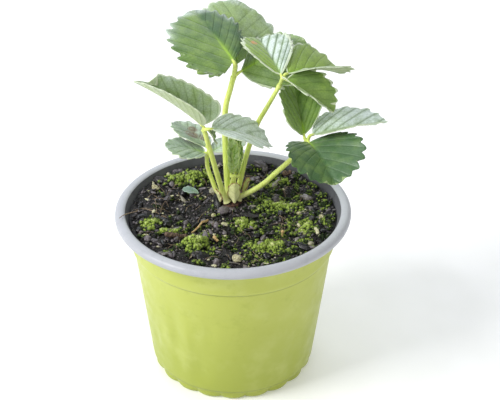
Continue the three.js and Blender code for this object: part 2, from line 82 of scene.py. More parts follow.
# ---------------------------------------------------------------- frame
POT_LOW, POT_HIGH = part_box("pot")
AXIS = np.array([(POT_LOW[0] + POT_HIGH[0]) / 2, (POT_LOW[1] + POT_HIGH[1]) / 2, 0.0])


def placed(points: Array) -> Array:
    """Places in the frame, in metres, of points in millimetres from the pot's axis and foot."""
    return np.asarray(points, dtype=float) * MM + AXIS


# ---------------------------------------------------------------- mesh tools
def select_only(piece: Piece) -> None:
    """Makes one piece the selected and active one."""
    bpy.ops.object.select_all(action="DESELECT")
    piece.select_set(True)
    bpy.context.view_layer.objects.active = piece


def coordinates(piece: Piece) -> Array:
    """The piece's vertices, one row each."""
    flat = np.empty(3 * len(piece.data.vertices))
    piece.data.vertices.foreach_get("co", flat)
    return flat.reshape(-1, 3)


def move_vertices(piece: Piece, points: Array) -> None:
    """Puts the piece's vertices at the given places."""
    piece.data.vertices.foreach_set("co", np.ascontiguousarray(points, dtype=float).ravel())
    piece.data.update()


def store(piece: Piece, name: str, values: Array) -> None:
    """Keeps one number a vertex under a name, for the piece's finish to read."""
    attribute = piece.data.attributes.new(name, "FLOAT", "POINT")
    attribute.data.foreach_set("value", np.ascontiguousarray(values, dtype=float))


def apply_modifier(piece: Piece, kind: str, **settings: object) -> None:
    """Adds a modifier with its settings and applies it."""
    select_only(piece)
    modifier = piece.modifiers.new(kind.title(), kind)
    for name, value in settings.items():
        setattr(modifier, name, value)
    bpy.ops.object.modifier_apply(modifier=modifier.name)


def linked(name: str, data: bpy.types.ID) -> Piece:
    """A new object in the scene that shows the given data."""
    made = bpy.data.objects.new(name, data)
    bpy.context.collection.objects.link(made)
    return made


def primitive(name: str, add: Callable, **settings: object) -> Piece:
    """The piece that one of Blender's operators adds with some settings, under a name."""
    bpy.ops.object.select_all(action="DESELECT")
    add(**settings)
    made = bpy.context.object
    made.name = made.data.name = name
    return made


def smooth(piece: Piece) -> None:
    """Shades the whole piece smoothly."""
    select_only(piece)
    bpy.ops.object.shade_smooth()


@contextmanager
def editing(piece: Piece) -> Iterator[None]:
    """Opens a piece in edit mode with its whole mesh selected."""
    select_only(piece)
    bpy.ops.object.mode_set(mode="EDIT")
    bpy.ops.mesh.select_all(action="SELECT")
    yield
    bpy.ops.object.mode_set(mode="OBJECT")


def spun(name: str, profile: Sequence[Pair], steps: int) -> Piece:
    """A closed shape turned from a profile about the pot's axis.

    Args:
        name: the piece's name.
        profile: radius and height of each point, in millimetres.
        steps: how many sides the round has.

    Returns:
        The piece, still in millimetres about the axis.
    """
    mesh = bpy.data.meshes.new(name)
    edges = [(i, i + 1) for i in range(len(profile) - 1)]
    mesh.from_pydata([(radius, 0.0, height) for radius, height in profile], edges, [])
    piece = linked(name, mesh)
    with editing(piece):
        bpy.ops.mesh.spin(steps=steps, angle=2 * pi, center=(0, 0, 0), axis=(0, 0, 1))
    with editing(piece):
        bpy.ops.mesh.remove_doubles(threshold=SEAM)
        bpy.ops.mesh.normals_make_consistent(inside=False)
    return piece


def centripetal(points: Sequence[Point], steps: int) -> Array:
    """A smooth route through points, with evenly shared steps.

    Args:
        points: places that the route passes through, in millimetres.
        steps: how many steps each stretch between two points gets.

    Returns:
        The route's places, one row each.
    """
    knots = [np.array(point, dtype=float) for point in points]
    knots = [2 * knots[0] - knots[1], *knots, 2 * knots[-1] - knots[-2]]
    route = []
    for a, b, c, d in zip(knots, knots[1:], knots[2:], knots[3:]):
        times = np.cumsum([0.0, *(np.linalg.norm(q - p) ** 0.5 for p, q in ((a, b), (b, c), (c, d)))])
        for t in np.linspace(times[1], times[2], steps, endpoint=False):
            row = [a, b, c, d]
            for level in (1, 2, 3):
                for i in range(4 - level):
                    low, high = (times[1], times[2]) if level == 3 else (times[i], times[i + level])
                    row[i] = ((high - t) * row[i] + (t - low) * row[i + 1]) / (high - low)
            route.append(row[0])
    route.append(np.array(points[-1], dtype=float))
    return np.array(route)


def frames_along(route: Array) -> tuple[Array, Array, Array]:
    """Directions along a route and two level directions across it that don't twist.

    Args:
        route: the route's places, one row each.

    Returns:
        The tangents and the two crossing directions, one row each.
    """
    tangents = np.gradient(route, axis=0)
    tangents /= np.linalg.norm(tangents, axis=1, keepdims=True)
    start = np.array([1.0, 0.0, 0.0]) if abs(tangents[0][0]) < 0.9 else np.array([0.0, 1.0, 0.0])
    firsts = []
    for tangent in tangents:
        start = start - tangent * start.dot(tangent)
        start /= np.linalg.norm(start)
        firsts.append(start)
    first = np.array(firsts)
    return tangents, first, np.cross(tangents, first)


def tube(route: Array, radii: Array, sides: int) -> tuple[Array, Faces]:
    """Vertices and faces of a closed round bar along a route.

    Args:
        route: places of its middle line, one row each.
        radii: its radius at each place.
        sides: how many sides it has.

    Returns:
        The vertices and the faces.
    """
    _, first, second = frames_along(route)
    angles = np.linspace(0, 2 * pi, sides, endpoint=False)
    spokes = first[:, None] * np.cos(angles)[None, :, None] + second[:, None] * np.sin(angles)[None, :, None]
    vertices = (route[:, None] + spokes * np.asarray(radii)[:, None, None]).reshape(-1, 3)
    last = (len(route) - 1) * sides
    faces = [
        (ring + j, ring + (j + 1) % sides, ring + sides + (j + 1) % sides, ring + sides + j)
        for ring in range(0, last, sides) for j in range(sides)
    ]
    return vertices, [*faces, tuple(range(sides))[::-1], tuple(range(last, last + sides))]


class Solids:
    """Gathers closed shapes in millimetres and makes one piece of them."""

    def __init__(self) -> None:
        """Starts with nothing."""
        self.vertices: list[Array] = []
        self.faces: Faces = []
        self.values: dict[str, list[Array]] = {}
        self.count = 0

    def add(self, vertices: Array, faces: Iterable[Sequence[int]], **values: object) -> None:
        """Adds one shape, with a number for all of its vertices or one for each.

        Args:
            vertices: its places in millimetres, one row each.
            faces: its faces, counted from its own first vertex.
            values: named numbers for the finish to read.
        """
        self.faces.extend(tuple(self.count + i for i in face) for face in faces)
        self.vertices.append(np.asarray(vertices, dtype=float))
        for name, value in values.items():
            self.values.setdefault(name, []).append(np.broadcast_to(value, len(vertices)))
        self.count += len(vertices)

    def piece(self, name: str) -> Piece:
        """Makes the gathered shapes one smooth shaded piece in the frame."""
        mesh = bpy.data.meshes.new(name)
        mesh.from_pydata(placed(np.vstack(self.vertices)).tolist(), [], self.faces)
        made = linked(name, mesh)
        for key, rows in self.values.items():
            store(made, key, np.concatenate(rows))
        smooth(made)
        return made


def template(add: Callable, **settings: object) -> tuple[Array, Faces]:
    """Vertices and faces of a small shape that an operator adds; the shape itself is removed."""
    shape = primitive("template", add, **settings)
    vertices = coordinates(shape)
    faces = [tuple(face.vertices) for face in shape.data.polygons]
    bpy.data.objects.remove(shape, do_unlink=True)
    return vertices, faces


@cache
def spike(radius: float) -> tuple[Array, Faces]:
    """A three sided spike, one millimetre tall, on the origin."""
    add = bpy.ops.mesh.primitive_cone_add
    return template(add, vertices=3, radius1=radius, radius2=0.0, depth=1.0, location=(0, 0, 0.5))


def turned(vertices: Array, heading: float, pitch: float, spin: float) -> Array:
    """Vertices turned about their own origin by three angles in radians."""
    tipped = Matrix.Rotation(heading, 3, "Z") @ Matrix.Rotation(pitch, 3, "Y")
    return vertices @ np.array(tipped @ Matrix.Rotation(spin, 3, "Z")).T


def attach(piece: Piece, *nodes: str) -> Piece:
    """Makes a piece ride with the body and stand for CAD nodes.

    Args:
        piece: the finished piece, at the origin with its place in its mesh.
        nodes: CAD nodes that it stands for, which it hides.

    Returns:
        The same piece.
    """
    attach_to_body(piece, ROOT)
    if nodes:
        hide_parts(*nodes)
    log.info("%s: %d faces", piece.name, len(piece.data.polygons))
    return piece


def settled(piece: Piece, points: Array) -> Piece:
    """The same piece, smooth shaded, with its vertices at places in millimetres."""
    move_vertices(piece, placed(points))
    smooth(piece)
    return piece


def smoothstep(value: Array, low: float, high: float) -> Array:
    """Rises smoothly from 0 at low to 1 at high."""
    t = np.clip((np.asarray(value, dtype=float) - low) / (high - low), 0.0, 1.0)
    return t * t * (3 - 2 * t)


def patchy(x: float, y: float, per_mm: float, level: float, rough: float = 0.9, gap: float = 2.1,
           octaves: int = 3) -> float:
    """Cloudy unevenness about 0 at a place on the soil; each level is a pattern of its own."""
    return noise.fractal(Vector((per_mm * x, per_mm * y, level)), rough, gap, octaves)


# ---------------------------------------------------------------- material tools
def linear(hex_colour: str) -> tuple[float, float, float, float]:
    """Linear colour of an sRGB hex value such as "#C8D75A"."""
    channels = [int(hex_colour[i:i + 2], 16) / 255 for i in (1, 3, 5)]
    low = [c / 12.92 if c <= 0.04045 else ((c + 0.055) / 1.055) ** 2.4 for c in channels]
    return low[0], low[1], low[2], 1.0


def per_size(size_mm: float) -> float:
    """Texture scale that gives features of a real size on Object coordinates."""
    return 1.0 / (size_mm * MM)


@dataclass(frozen=True)
class Cloud:
    """A cloudy pattern of a real size, cut between two levels and mapped onto start to end."""

    size_mm: float
    low: float
    high: float
    start: float = 0.0
    end: float = 1.0
    detail: float = 4.0
    rough: float = 0.55


class Wiring:
    """A material's node tree while it is put together."""

    def __init__(self, name: str) -> None:
        """Starts an empty material.

        Args:
            name: the material's name.
        """
        self.material = bpy.data.materials.new(name)
        self.material.use_nodes = True
        self.tree = self.material.node_tree
        self.tree.nodes.clear()

    def add(self, kind: str, inputs: Optional[dict] = None, **settings: object) -> bpy.types.Node:
        """Adds a node with its settings and links.

        Args:
            kind: the node's type without its ShaderNode prefix.
            inputs: socket names or numbers, each with a value or another node's output.
            settings: the node's own properties.

        Returns:
            The node.
        """
        node = self.tree.nodes.new("ShaderNode" + kind)
        for name, value in settings.items():
            setattr(node, name, value)
        for socket, value in (inputs or {}).items():
            if isinstance(value, Socket):
                self.tree.links.new(value, node.inputs[socket])
            else:
                node.inputs[socket].default_value = value
        return node

    def objects(self) -> Socket:
        """The piece's own coordinates, in metres."""
        return self.add("TexCoord").outputs["Object"]

    def height(self) -> Socket:
        """Height over the ground, in metres."""
        return self.add("SeparateXYZ", {0: self.objects()}).outputs[2]

    def stored(self, name: str) -> Socket:
        """A number that the mesh carries under a name."""
        return self.add("Attribute", attribute_name=name, attribute_type="GEOMETRY").outputs["Fac"]

    def noise(self, size_mm: float, detail: float = 4.0, rough: float = 0.55,
              stretch: Point = (1.0, 1.0, 1.0)) -> Socket:
        """Cloudy pattern with features of a real size, from 0 to 1; a stretch below 1 draws them out."""
        vector = self.objects()
        if stretch != (1.0, 1.0, 1.0):
            vector = self.add("Mapping", {"Vector": vector, "Scale": stretch}).outputs[0]
        inputs = {"Vector": vector, "Scale": per_size(size_mm), "Detail": detail, "Roughness": rough}
        return self.add("TexNoise", inputs).outputs[0]

    def band(self, value: Socket, low: float, high: float, start: float = 0.0,
             end: float = 1.0) -> Socket:
        """Maps a value smoothly from the range low to high onto start to end."""
        inputs = {"Value": value, "From Min": low, "From Max": high, "To Min": start, "To Max": end}
        return self.add("MapRange", inputs, interpolation_type="SMOOTHSTEP").outputs[0]

    def cloud(self, pattern: Cloud, about: float = 0.0) -> Socket:
        """A cloudy pattern on its range, raised by a number."""
        clouds = self.noise(pattern.size_mm, pattern.detail, pattern.rough)
        return self.band(clouds, pattern.low, pattern.high, about + pattern.start, about + pattern.end)

    def climb(self, heights_mm: Pair, start: float = 0.0, end: float = 1.0) -> Socket:
        """Goes smoothly from start to end between two heights."""
        low, high = (height * MM for height in heights_mm)
        return self.band(self.height(), low, high, start, end)

    def maths(self, operation: str, first: object, second: object = 0.0) -> Socket:
        """One sum on two values."""
        return self.add("Math", {0: first, 1: second}, operation=operation).outputs[0]

    def product(self, first: object, second: object) -> Socket:
        """Two values multiplied."""
        return self.maths("MULTIPLY", first, second)

    def away(self, value: object, middle: float) -> Socket:
        """How far a value is from a number, on either side."""
        return self.maths("ABSOLUTE", self.maths("SUBTRACT", value, middle))

    def blend(self, share: object, first: object, second: object) -> Socket:
        """A colour between two, each a hex value or an output."""
        colours = [linear(c) if isinstance(c, str) else c for c in (first, second)]
        return self.add("Mix", {0: share, 6: colours[0], 7: colours[1]}, data_type="RGBA").outputs[2]

    def relief(self, height: Socket, depth_mm: float, strength: float = 1.0,
               under: Optional[Socket] = None) -> Socket:
        """Normals of a surface raised by a pattern.

        Args:
            height: the pattern, from 0 to 1.
            depth_mm: how far it stands up.
            strength: how much of it shows.
            under: normals of a coarser relief below it.

        Returns:
            The normals.
        """
        inputs = {"Height": height, "Distance": depth_mm * MM, "Strength": strength}
        if under is not None:
            inputs["Normal"] = under
        return self.add("Bump", inputs).outputs[0]

    def finish(self, inputs: dict) -> Material:
        """Closes the material with one Principled shader.

        Args:
            inputs: the shader's sockets, each with a value or an output.

        Returns:
            The material.
        """
        shader = self.add("BsdfPrincipled", inputs)
        self.add("OutputMaterial", {"Surface": shader.outputs[0]})
        return self.material


# ---------------------------------------------------------------- finishes
# painted shade: the colour of the dark lines in the pot's step and crease
POT_CREASE_SHADE = "#6E7832"


@dataclass(frozen=True)
class PotFilm:
    """Printed polypropylene film: one colour darkened by painted shade lower down, soft gloss, faint scuffs
    and dents, and painted shade lines in the step and the crease.
    """

    name: str
    colour: str
    # the colour of the painted shade lower down, also used for scratches
    shade: str
    scuff: str
    roughness: float = 0.36
    # painted shade: the shade colour at the first height, the film's own colour from the second height up
    shade_height: Pair = (0.0, 80.0)
    # painted shade lines in the step and in the crease: their heights, and the lines' half width
    crease_shade_heights: Pair = (78.5, 5.9)
    crease_shade_reach: float = 0.75
    crease_shade: float = 0.0
    smudge: Cloud = Cloud(22.0, 0.5, 0.72, 0.0, 0.3, 3.0)
    scratch: Cloud = Cloud(9.0, 0.52, 0.72, 0.0, 0.4, 5.0, 0.7)
    gloss: Cloud = Cloud(7.0, 0.3, 0.75, -0.06, 0.12, 5.0)

    def build(self) -> Material:
        """The film as a material."""
        wiring = Wiring(self.name)
        # painted shade lower down on the film
        even = wiring.blend(wiring.climb(self.shade_height), self.shade, self.colour)
        smudged = wiring.blend(wiring.cloud(self.smudge), even, self.scuff)
        scuffed = wiring.blend(wiring.cloud(self.scratch), smudged, self.shade)
        step, crease = (wiring.away(wiring.height(), at * MM) for at in self.crease_shade_heights)
        reach = self.crease_shade_reach * MM
        # painted shade lines along the step and the crease
        crease_shaded = wiring.band(wiring.maths("MINIMUM", step, crease), 0.5 * reach, reach, self.crease_shade, 0.0)
        drawn = wiring.relief(wiring.noise(size_mm=14.0, detail=2.0), depth_mm=0.6, strength=0.6)
        grain = wiring.noise(size_mm=0.8, detail=2.0)
        return wiring.finish({
            "Base Color": wiring.blend(crease_shaded, scuffed, POT_CREASE_SHADE), "IOR": 1.49, "Specular IOR Level": 0.32,
            "Roughness": wiring.cloud(self.gloss, self.roughness),
            "Normal": wiring.relief(grain, depth_mm=0.02, strength=0.5, under=drawn),
        })


@dataclass(frozen=True)
class Potting:
    """Moist peat and composted bark: near black with brown bits and a dull wet gloss."""

    name: str
    dark: str
    light: str
    grain: Cloud = Cloud(1.4, 0.35, 0.7, detail=6.0, rough=0.7)
    patch: Cloud = Cloud(9.0, 0.4, 0.65, 0.0, 0.5, 2.0)

    def build(self) -> Material:
        """The mix as a material."""
        wiring = Wiring(self.name)
        grain = wiring.cloud(self.grain)
        mixed = wiring.blend(grain, self.dark, self.light)
        return wiring.finish({
            "Base Color": wiring.blend(wiring.cloud(self.patch), mixed, self.dark), "Roughness": 0.45,
            "Specular IOR Level": 0.5, "Normal": wiring.relief(grain, depth_mm=0.4, strength=0.9),
        })


@dataclass(frozen=True)
class Crumbs:
    """Loose crumbs or moss shoots, each with its own tint between three colours."""

    name: str
    dark: str
    middle: str
    light: str
    roughness: float
    # tints from which a crumb turns from dark to middle and from middle to light
    to_middle: Pair = (0.0, 0.55)
    to_light: Pair = (0.75, 1.0)
    speck: Cloud = Cloud(0.5, 0.45, 0.7, 0.0, 0.45, 3.0)

    def build(self) -> Material:
        """The crumbs as a material that reads each crumb's tint."""
        wiring = Wiring(self.name)
        tint = wiring.stored("tint")
        low = wiring.blend(wiring.band(tint, *self.to_middle), self.dark, self.middle)
        high = wiring.blend(wiring.band(tint, *self.to_light), low, self.light)
        rough = wiring.noise(size_mm=0.6, detail=3.0)
        return wiring.finish({
            "Base Color": wiring.blend(wiring.cloud(self.speck), high, self.dark),
            "Roughness": self.roughness, "Specular IOR Level": 0.55,
            "Normal": wiring.relief(rough, depth_mm=0.2, strength=0.9),
        })


@dataclass(frozen=True)
class LeafBlade:
    """Living strawberry leaf: green panels under a painted sheen between sunk veins, pale rib and margin."""

    name: str
    deep: str
    fresh: str
    # painted sheen: the pale bluish colour laid on as the sky's reflection
    painted_sheen: str
    vein: str
    rib: str
    margin: str
    spot: str
    roughness: float
    underside: bool = False
    mottle: Cloud = Cloud(7.0, 0.3, 0.7, -0.2, 0.2)
    sheen_patch: Cloud = Cloud(5.0, 0.3, 0.6, 0.55, 1.0)
    ragged: Cloud = Cloud(1.6, 0.3, 0.5, rough=0.7)
    gloss: Cloud = Cloud(4.0, 0.3, 0.7, -0.07, 0.1, 3.0)
    # a side vein's reach, as a part of the way to the next: its valley without painted sheen, its line and
    # its groove
    valley: Pair = (0.03, 0.3)
    line: float = 0.11
    groove: float = 0.13
    # millimetres in from the margin: where vein lines fade and where the margin's own colour ends
    fade: float = 2.5
    hem: Pair = (0.2, 0.9)
    cell_mm: float = 1.4

    def colours(self, wiring: Wiring, away: Socket, net: Socket) -> Socket:
        """The blade's colour, from the distance to the nearest side vein and the fine net between veins."""
        tone = wiring.maths("ADD", wiring.stored("tone"), wiring.cloud(self.mottle))
        panel = wiring.blend(tone, self.deep, self.fresh)
        # painted sheen: patches of the sky's reflection, kept out of the vein valleys
        sheen_patch = wiring.product(wiring.stored("painted_sheen"), wiring.cloud(self.sheen_patch))
        furrow = wiring.stored("furrow")
        valley = wiring.product(wiring.band(away, *self.valley, 1.0, 0.0), furrow)
        sheened = wiring.blend(wiring.product(sheen_patch, wiring.maths("SUBTRACT", 1.0, valley)), panel, self.painted_sheen)
        line = wiring.product(wiring.band(away, 0.0, self.line, 1.0, 0.0), furrow)
        edge = wiring.stored("edge")
        veined = wiring.blend(wiring.product(line, wiring.band(edge, 0.0, self.fade)), sheened, self.vein)
        ribbed = wiring.blend(wiring.stored("rib"), wiring.blend(net, veined, self.vein), self.rib)
        edged = wiring.blend(wiring.band(edge, *self.hem, 0.85, 0.0), ribbed, self.margin)
        spot = wiring.product(wiring.stored("spot"), wiring.cloud(self.ragged))
        return wiring.blend(spot, edged, self.spot)

    def build(self) -> Material:
        """The leaf's skin as a material that reads the blade's own vein map."""
        wiring = Wiring(self.name)
        phase = wiring.maths("FRACT", wiring.maths("ADD", wiring.stored("vein"), 0.5))
        away = wiring.away(phase, 0.5)
        cells = {"Vector": wiring.objects(), "Scale": per_size(self.cell_mm)}
        cell_edges = wiring.add("TexVoronoi", cells, feature="DISTANCE_TO_EDGE").outputs[0]
        net = wiring.band(cell_edges, low=0.0, high=0.12, start=0.28, end=0.0)
        height = wiring.maths("SUBTRACT", wiring.band(away, 0.0, self.groove), wiring.product(net, 0.6))
        depth_mm = -0.25 if self.underside else 0.25
        coarse = wiring.relief(height, depth_mm, strength=0.6)
        fine = wiring.noise(size_mm=0.7, detail=3.0)
        return wiring.finish({
            "Base Color": self.colours(wiring, away, net), "IOR": 1.45, "Specular IOR Level": 0.55,
            "Roughness": wiring.cloud(self.gloss, self.roughness),
            "Normal": wiring.relief(fine, depth_mm=0.06, strength=0.6, under=coarse),
            "Sheen Weight": 0.3, "Sheen Roughness": 0.4,
        })


@dataclass(frozen=True)
class StalkSkin:
    """Juicy petiole: light green skin with fine lengthwise streaks that pales at the crown."""

    name: str
    colour: str
    shade: str
    base: str
    base_height: Pair = (97.0, 106.0)
    streak: Pair = (0.35, 0.7)

    def build(self) -> Material:
        """The skin as a material."""
        wiring = Wiring(self.name)
        streak = wiring.noise(size_mm=0.8, detail=3.0, rough=0.5, stretch=(1.0, 1.0, 0.12))
        green = wiring.blend(wiring.band(streak, *self.streak), self.shade, self.colour)
        at_base = wiring.climb(self.base_height, start=0.85, end=0.0)
        return wiring.finish({
            "Base Color": wiring.blend(at_base, green, self.base), "Roughness": 0.42, "IOR": 1.42,
            "Normal": wiring.relief(streak, depth_mm=0.04, strength=0.5), "Sheen Weight": 0.2,
            "Sheen Roughness": 0.4,
        })


@dataclass(frozen=True)
class Speckled:
    """A small natural thing in two tints: hair, stem, bark, grit, scale or husk, or the plain floor."""

    name: str
    dark: str
    light: str
    grain_mm: float
    roughness: float
    relief_mm: float = 0.12
    sheen: float = 0.0
    stretch: float = 1.0
    glow: float = 0.0
    tints: Pair = (0.35, 0.68)

    def build(self) -> Material:
        """The two tints, mixed by a grain of real size."""
        wiring = Wiring(self.name)
        clouds = wiring.noise(self.grain_mm, detail=5.0, rough=0.5, stretch=(1.0, self.stretch, 1.0))
        grain = wiring.band(clouds, *self.tints)
        return wiring.finish({
            "Base Color": wiring.blend(grain, self.dark, self.light), "Roughness": self.roughness,
            "Normal": wiring.relief(grain, self.relief_mm, strength=0.8), "Sheen Weight": self.sheen,
            "Emission Color": linear(self.light), "Emission Strength": self.glow,
        })


class Finish(Enum):
    """Every finish on the plant, its pot and the floor."""

    # each pot film: its own colour, its painted shade colour, its scuff colour
    POT_BODY = PotFilm("printed_green_polypropylene", "#B5BD5A", "#A1AB47", "#C5CC7E", crease_shade=0.4)
    POT_RIM = PotFilm("grey_polypropylene_rim", "#B8BABF", "#A5A7AD", "#C7C9CF", 0.34, (94.0, 100.0))
    POT_INSIDE = PotFilm("dark_grey_polypropylene", "#626368", "#3A3A3C", "#7C7D80", 0.55, (88.0, 98.0))
    SOIL = Potting("peat_and_bark_mix", "#090909", "#35302D")
    CRUMB = Crumbs("bark_and_peat_crumbs", "#050505", "#787073", "#D2CEA6", 0.3)
    # leaf colours: deep and fresh green, painted sheen, vein, rib, margin, spot
    LEAF_TOP = LeafBlade(
        "strawberry_leaf_upper", "#33601C", "#92B244", "#DCEAE2", "#26481A", "#A2CA42", "#D6E1C2", "#C88A40",
        roughness=0.42,
    )
    AGEING_LEAF = replace(LEAF_TOP, name="ageing_leaf_upper", spot="#766846")
    LEAF_UNDER = LeafBlade(
        "strawberry_leaf_underside", "#8FA868", "#B2C47C", "#C2D0B8", "#7C965A", "#D2E088", "#D6E0BC",
        "#A08660", roughness=0.62, underside=True,
    )
    YOUNG_LEAF = LeafBlade(
        "unfolding_leaf", "#5E9C30", "#C2E860", "#E8F4C4", "#3F8018", "#C4DE6E", "#D0E488", "#B08A50",
        roughness=0.45,
    )
    STALK = StalkSkin("strawberry_petiole", "#E6F08A", "#CDDD6A", "#D5D498")
    HAIR = Speckled("petiole_hairs", "#E4EBC0", "#F4F6E2", 0.6, 0.5, 0.02, sheen=0.4)
    CROWN = Speckled("crown_scale_bark", "#2E1F1A", "#6A4636", 1.2, 0.8, 0.3)
    STIPULE = LeafBlade(
        "papery_stipule", "#E4EA90", "#F8F8B8", "#FBFBE0", "#C6D078", "#FAFAC0", "#9A5640", "#9A5640",
        roughness=0.6,
    )
    MOSS = Crumbs("cushion_moss", "#283C14", "#AEC850", "#ECF4A6", 0.8)
    GRIT = Speckled("limestone_grit", "#8F8860", "#DDD8B2", 0.9, 0.8, 0.2)
    BARK = Speckled("pine_bark", "#3C2E26", "#937A66", 0.9, 0.9, 0.3, stretch=0.25)
    STRAW = Speckled("dry_straw", "#A9854C", "#E0C58A", 0.8, 0.7, 0.08, sheen=0.2, stretch=0.2)
    FIBRE = Speckled("coir_and_root_fibre", "#6E5A48", "#B7A184", 0.8, 0.7)
    SEEDLING = LeafBlade(
        "seedling_leaf", "#3C5C4C", "#6E9480", "#BFD2C4", "#42694F", "#A9C28A", "#A9C4AE", "#8A7A50",
        roughness=0.5,
    )
    FLOOR = Speckled("matt_white_backdrop", "#F4F4F2", "#F8F8F7", 30.0, 0.9, 0.01, glow=0.18)


_MADE: dict[Finish, Material] = {}


def finish_of(kind: Finish) -> Material:
    """The material of a finish, built once."""
    if kind not in _MADE:
        _MADE[kind] = kind.value.build()
    return _MADE[kind]


def dressed(piece: Piece, *kinds: Finish) -> Piece:
    """The same piece with its finishes, in slot order."""
    for kind in kinds:
        piece.data.materials.append(finish_of(kind))
    return piece


# ---------------------------------------------------------------- pot
@dataclass
class NurseryPot:
    """Round tapered pot: rolled rim, stacking collar, plain body, scalloped foot and drained floor."""

    height: float = 100.0
    rim_radius: float = 65.2
    crest_radius: float = 62.0
    mouth_radius: float = 59.3
    rim_depth: float = 5.2
    lip_drop: float = 1.5
    collar_radius: float = 57.0
    step_height: float = 79.0
    waist_radius: float = 55.3
    foot_radius: float = 46.8
    crease_height: float = 5.8
    wall: float = 1.1
    floor_underside: float = 2.6
    floor_top: float = 4.2
    throat_flare: float = 1.7
    throat: Pair = (86.0, 94.5)
    # heights at which the wall's inner face has a ring, from the throat down
    inner_rings: tuple[float, ...] = (
        94.5, 92.4, 90.0, 88.0, 86.0, 82.0, 80.0, 78.5, 76.0, 60.0, 40.0, 20.0, 8.0,
    )
    lobes: int = 20
    lobe_depth: float = 1.9
    lobes_from: float = 42.0
    lobe_share: tuple[Pair, ...] = ((0.0, 0.9), (1.0, 1.0), (3.2, 0.75), (5.3, 0.0))
    tilt_degrees: float = 0.8
    tilt_from: float = 55.0
    drain_holes: int = 8
    drain_radius: float = 3.2
    drain_circle: float = 30.0
    sides: int = 240
    crease_angle: float = 40.0
    # the rim's finish begins this far outside the mouth and this far below the rim's lower edge
    rim_finish: Pair = (0.2, 0.5)
    # a face that leans this far inwards or upwards has the inside's finish
    inward: float = 0.3
    upward: float = 0.5
    # heights where the dented film begins and ends softly
    film_foot: Pair = (7.0, 16.0)
    film_top: Pair = (70.0, 78.0)
    # soft dents in the film: angle from +X in degrees, height, half sizes round and up, depth
    dents: tuple[tuple[float, float, float, float, float], ...] = (
        (-128.0, 42.0, 4.5, 19.0, 0.9), (-112.0, 22.0, 6.0, 12.0, 0.7), (-66.0, 50.0, 12.0, 9.0, 0.7),
        (-48.0, 24.0, 7.0, 16.0, 0.8), (-90.0, 60.0, 16.0, 5.0, 0.5), (-150.0, 30.0, 4.0, 6.0, 0.8),
        (-119.0, 44.0, 2.5, 9.0, -0.4), (-104.0, 50.0, 4.0, 8.0, 0.4), (60.0, 40.0, 9.0, 18.0, 0.6),
    )

    @property
    def under_rim(self) -> float:
        """Height of the rim's lower edge."""
        return self.height - self.rim_depth

    @property
    def slope(self) -> float:
        """Rise of the tilted rim for each millimetre to the right."""
        return tan(radians(self.tilt_degrees))

    def inside_radius(self, z: float) -> float:
        """Inside radius of the wall at a height."""
        climb = (z - self.crease_height) / (self.step_height - self.crease_height)
        body = self.foot_radius + (self.waist_radius - self.foot_radius) * climb - self.wall
        share = float(smoothstep(z, self.step_height - 1, self.step_height + 2))
        flare = self.throat_flare * float(smoothstep(z, *self.throat))
        return body + (self.collar_radius - self.wall - body) * share + flare

    def outside(self) -> list[Pair]:
        """Half section of the shell's outer face, from the floor's underside up to the rim."""
        foot, crease = self.foot_radius, self.crease_height
        waist, collar, step = self.waist_radius, self.collar_radius, self.step_height
        floor = [(radius, self.floor_underside) for radius in (0.0, 20.0, 36.0)]
        stand = [
            (37.7, 0.5), (38.5, 0.0), (41.0, 0.0), (43.5, 0.0), (44.7, 0.3), (45.4, 1.0), (45.9, 2.0),
            (46.0, 3.2), (45.8, 4.4), (46.1, 5.2), (foot - 0.35, crease), (foot, crease + 0.7),
        ]
        body = [(foot + (waist - foot) * t, 6.5 + (step - 7.6) * t) for t in np.linspace(0.03, 1.0, 26)]
        ledge = [
            (waist + 0.15, step - 0.5), (waist + 0.8, step + 0.1), (collar - 0.35, step + 0.8),
            (collar - 0.05, step + 1.8), (collar, step + 3.0), (collar + 0.4, step + 9.0),
            (collar + 1.6, self.under_rim - 0.6), (collar + 2.1, self.under_rim - 0.1),
        ]
        return [*floor, *stand, *body, *ledge]

    def profile(self) -> list[Pair]:
        """Half section of the shell, from the floor's underside round the rim to the floor's top."""
        crest, rise = self.crest_radius, 0.5 * self.rim_depth
        reach, middle = self.rim_radius - crest, self.height - 0.5 * self.rim_depth
        roll = [
            (crest + reach * max(cos(t), 0.0) ** 0.8, middle + rise * sin(t))
            for t in np.linspace(-pi / 2 + 0.1, pi / 2, 16)
        ]
        lip = [
            (crest - (crest - self.mouth_radius) * sin(t), self.height - self.lip_drop * (1 - cos(t)))
            for t in np.linspace(0.2, pi / 2, 7)
        ]
        edge, corner = (self.inside_radius(96.4) + 0.8, 96.4), (self.inside_radius(6) - 0.8, 5.0)
        inside = [(self.inside_radius(z), z) for z in self.inner_rings]
        floor = [(radius, self.floor_top) for radius in (40.5, 20.0, 0.0)]
        return [*self.outside(), *roll, *lip, edge, *inside, corner, *floor]

    def shape(self, points: Array) -> Array:
        """Scallops the foot, dents the film and tilts the rim of the plain turned shell."""
        radius = np.hypot(points[:, 0], points[:, 1])
        angle = np.arctan2(points[:, 1], points[:, 0])
        z = points[:, 2].copy()
        outer = (radius > self.lobes_from) & (z < self.crease_height)
        depth = np.where(outer, np.interp(z, *zip(*self.lobe_share)), 0.0)
        lobe = np.abs(np.cos(self.lobes * angle / 2)) ** 0.8
        radius = radius - self.lobe_depth * depth * (1 - lobe)
        film = smoothstep(z, *self.film_foot) * (1 - smoothstep(z, *self.film_top))
        for at, height, half_round, half_up, dent in self.dents:
            away = (angle - radians(at) + pi) % (2 * pi) - pi
            arc = np.degrees(away) / half_round
            radius = radius - dent * film * np.exp(-arc ** 2 - ((z - height) / half_up) ** 2)
        x = radius * np.cos(angle)
        tilt = self.slope * smoothstep(z, self.tilt_from, self.under_rim)
        return np.column_stack([x, radius * np.sin(angle), z + x * tilt])

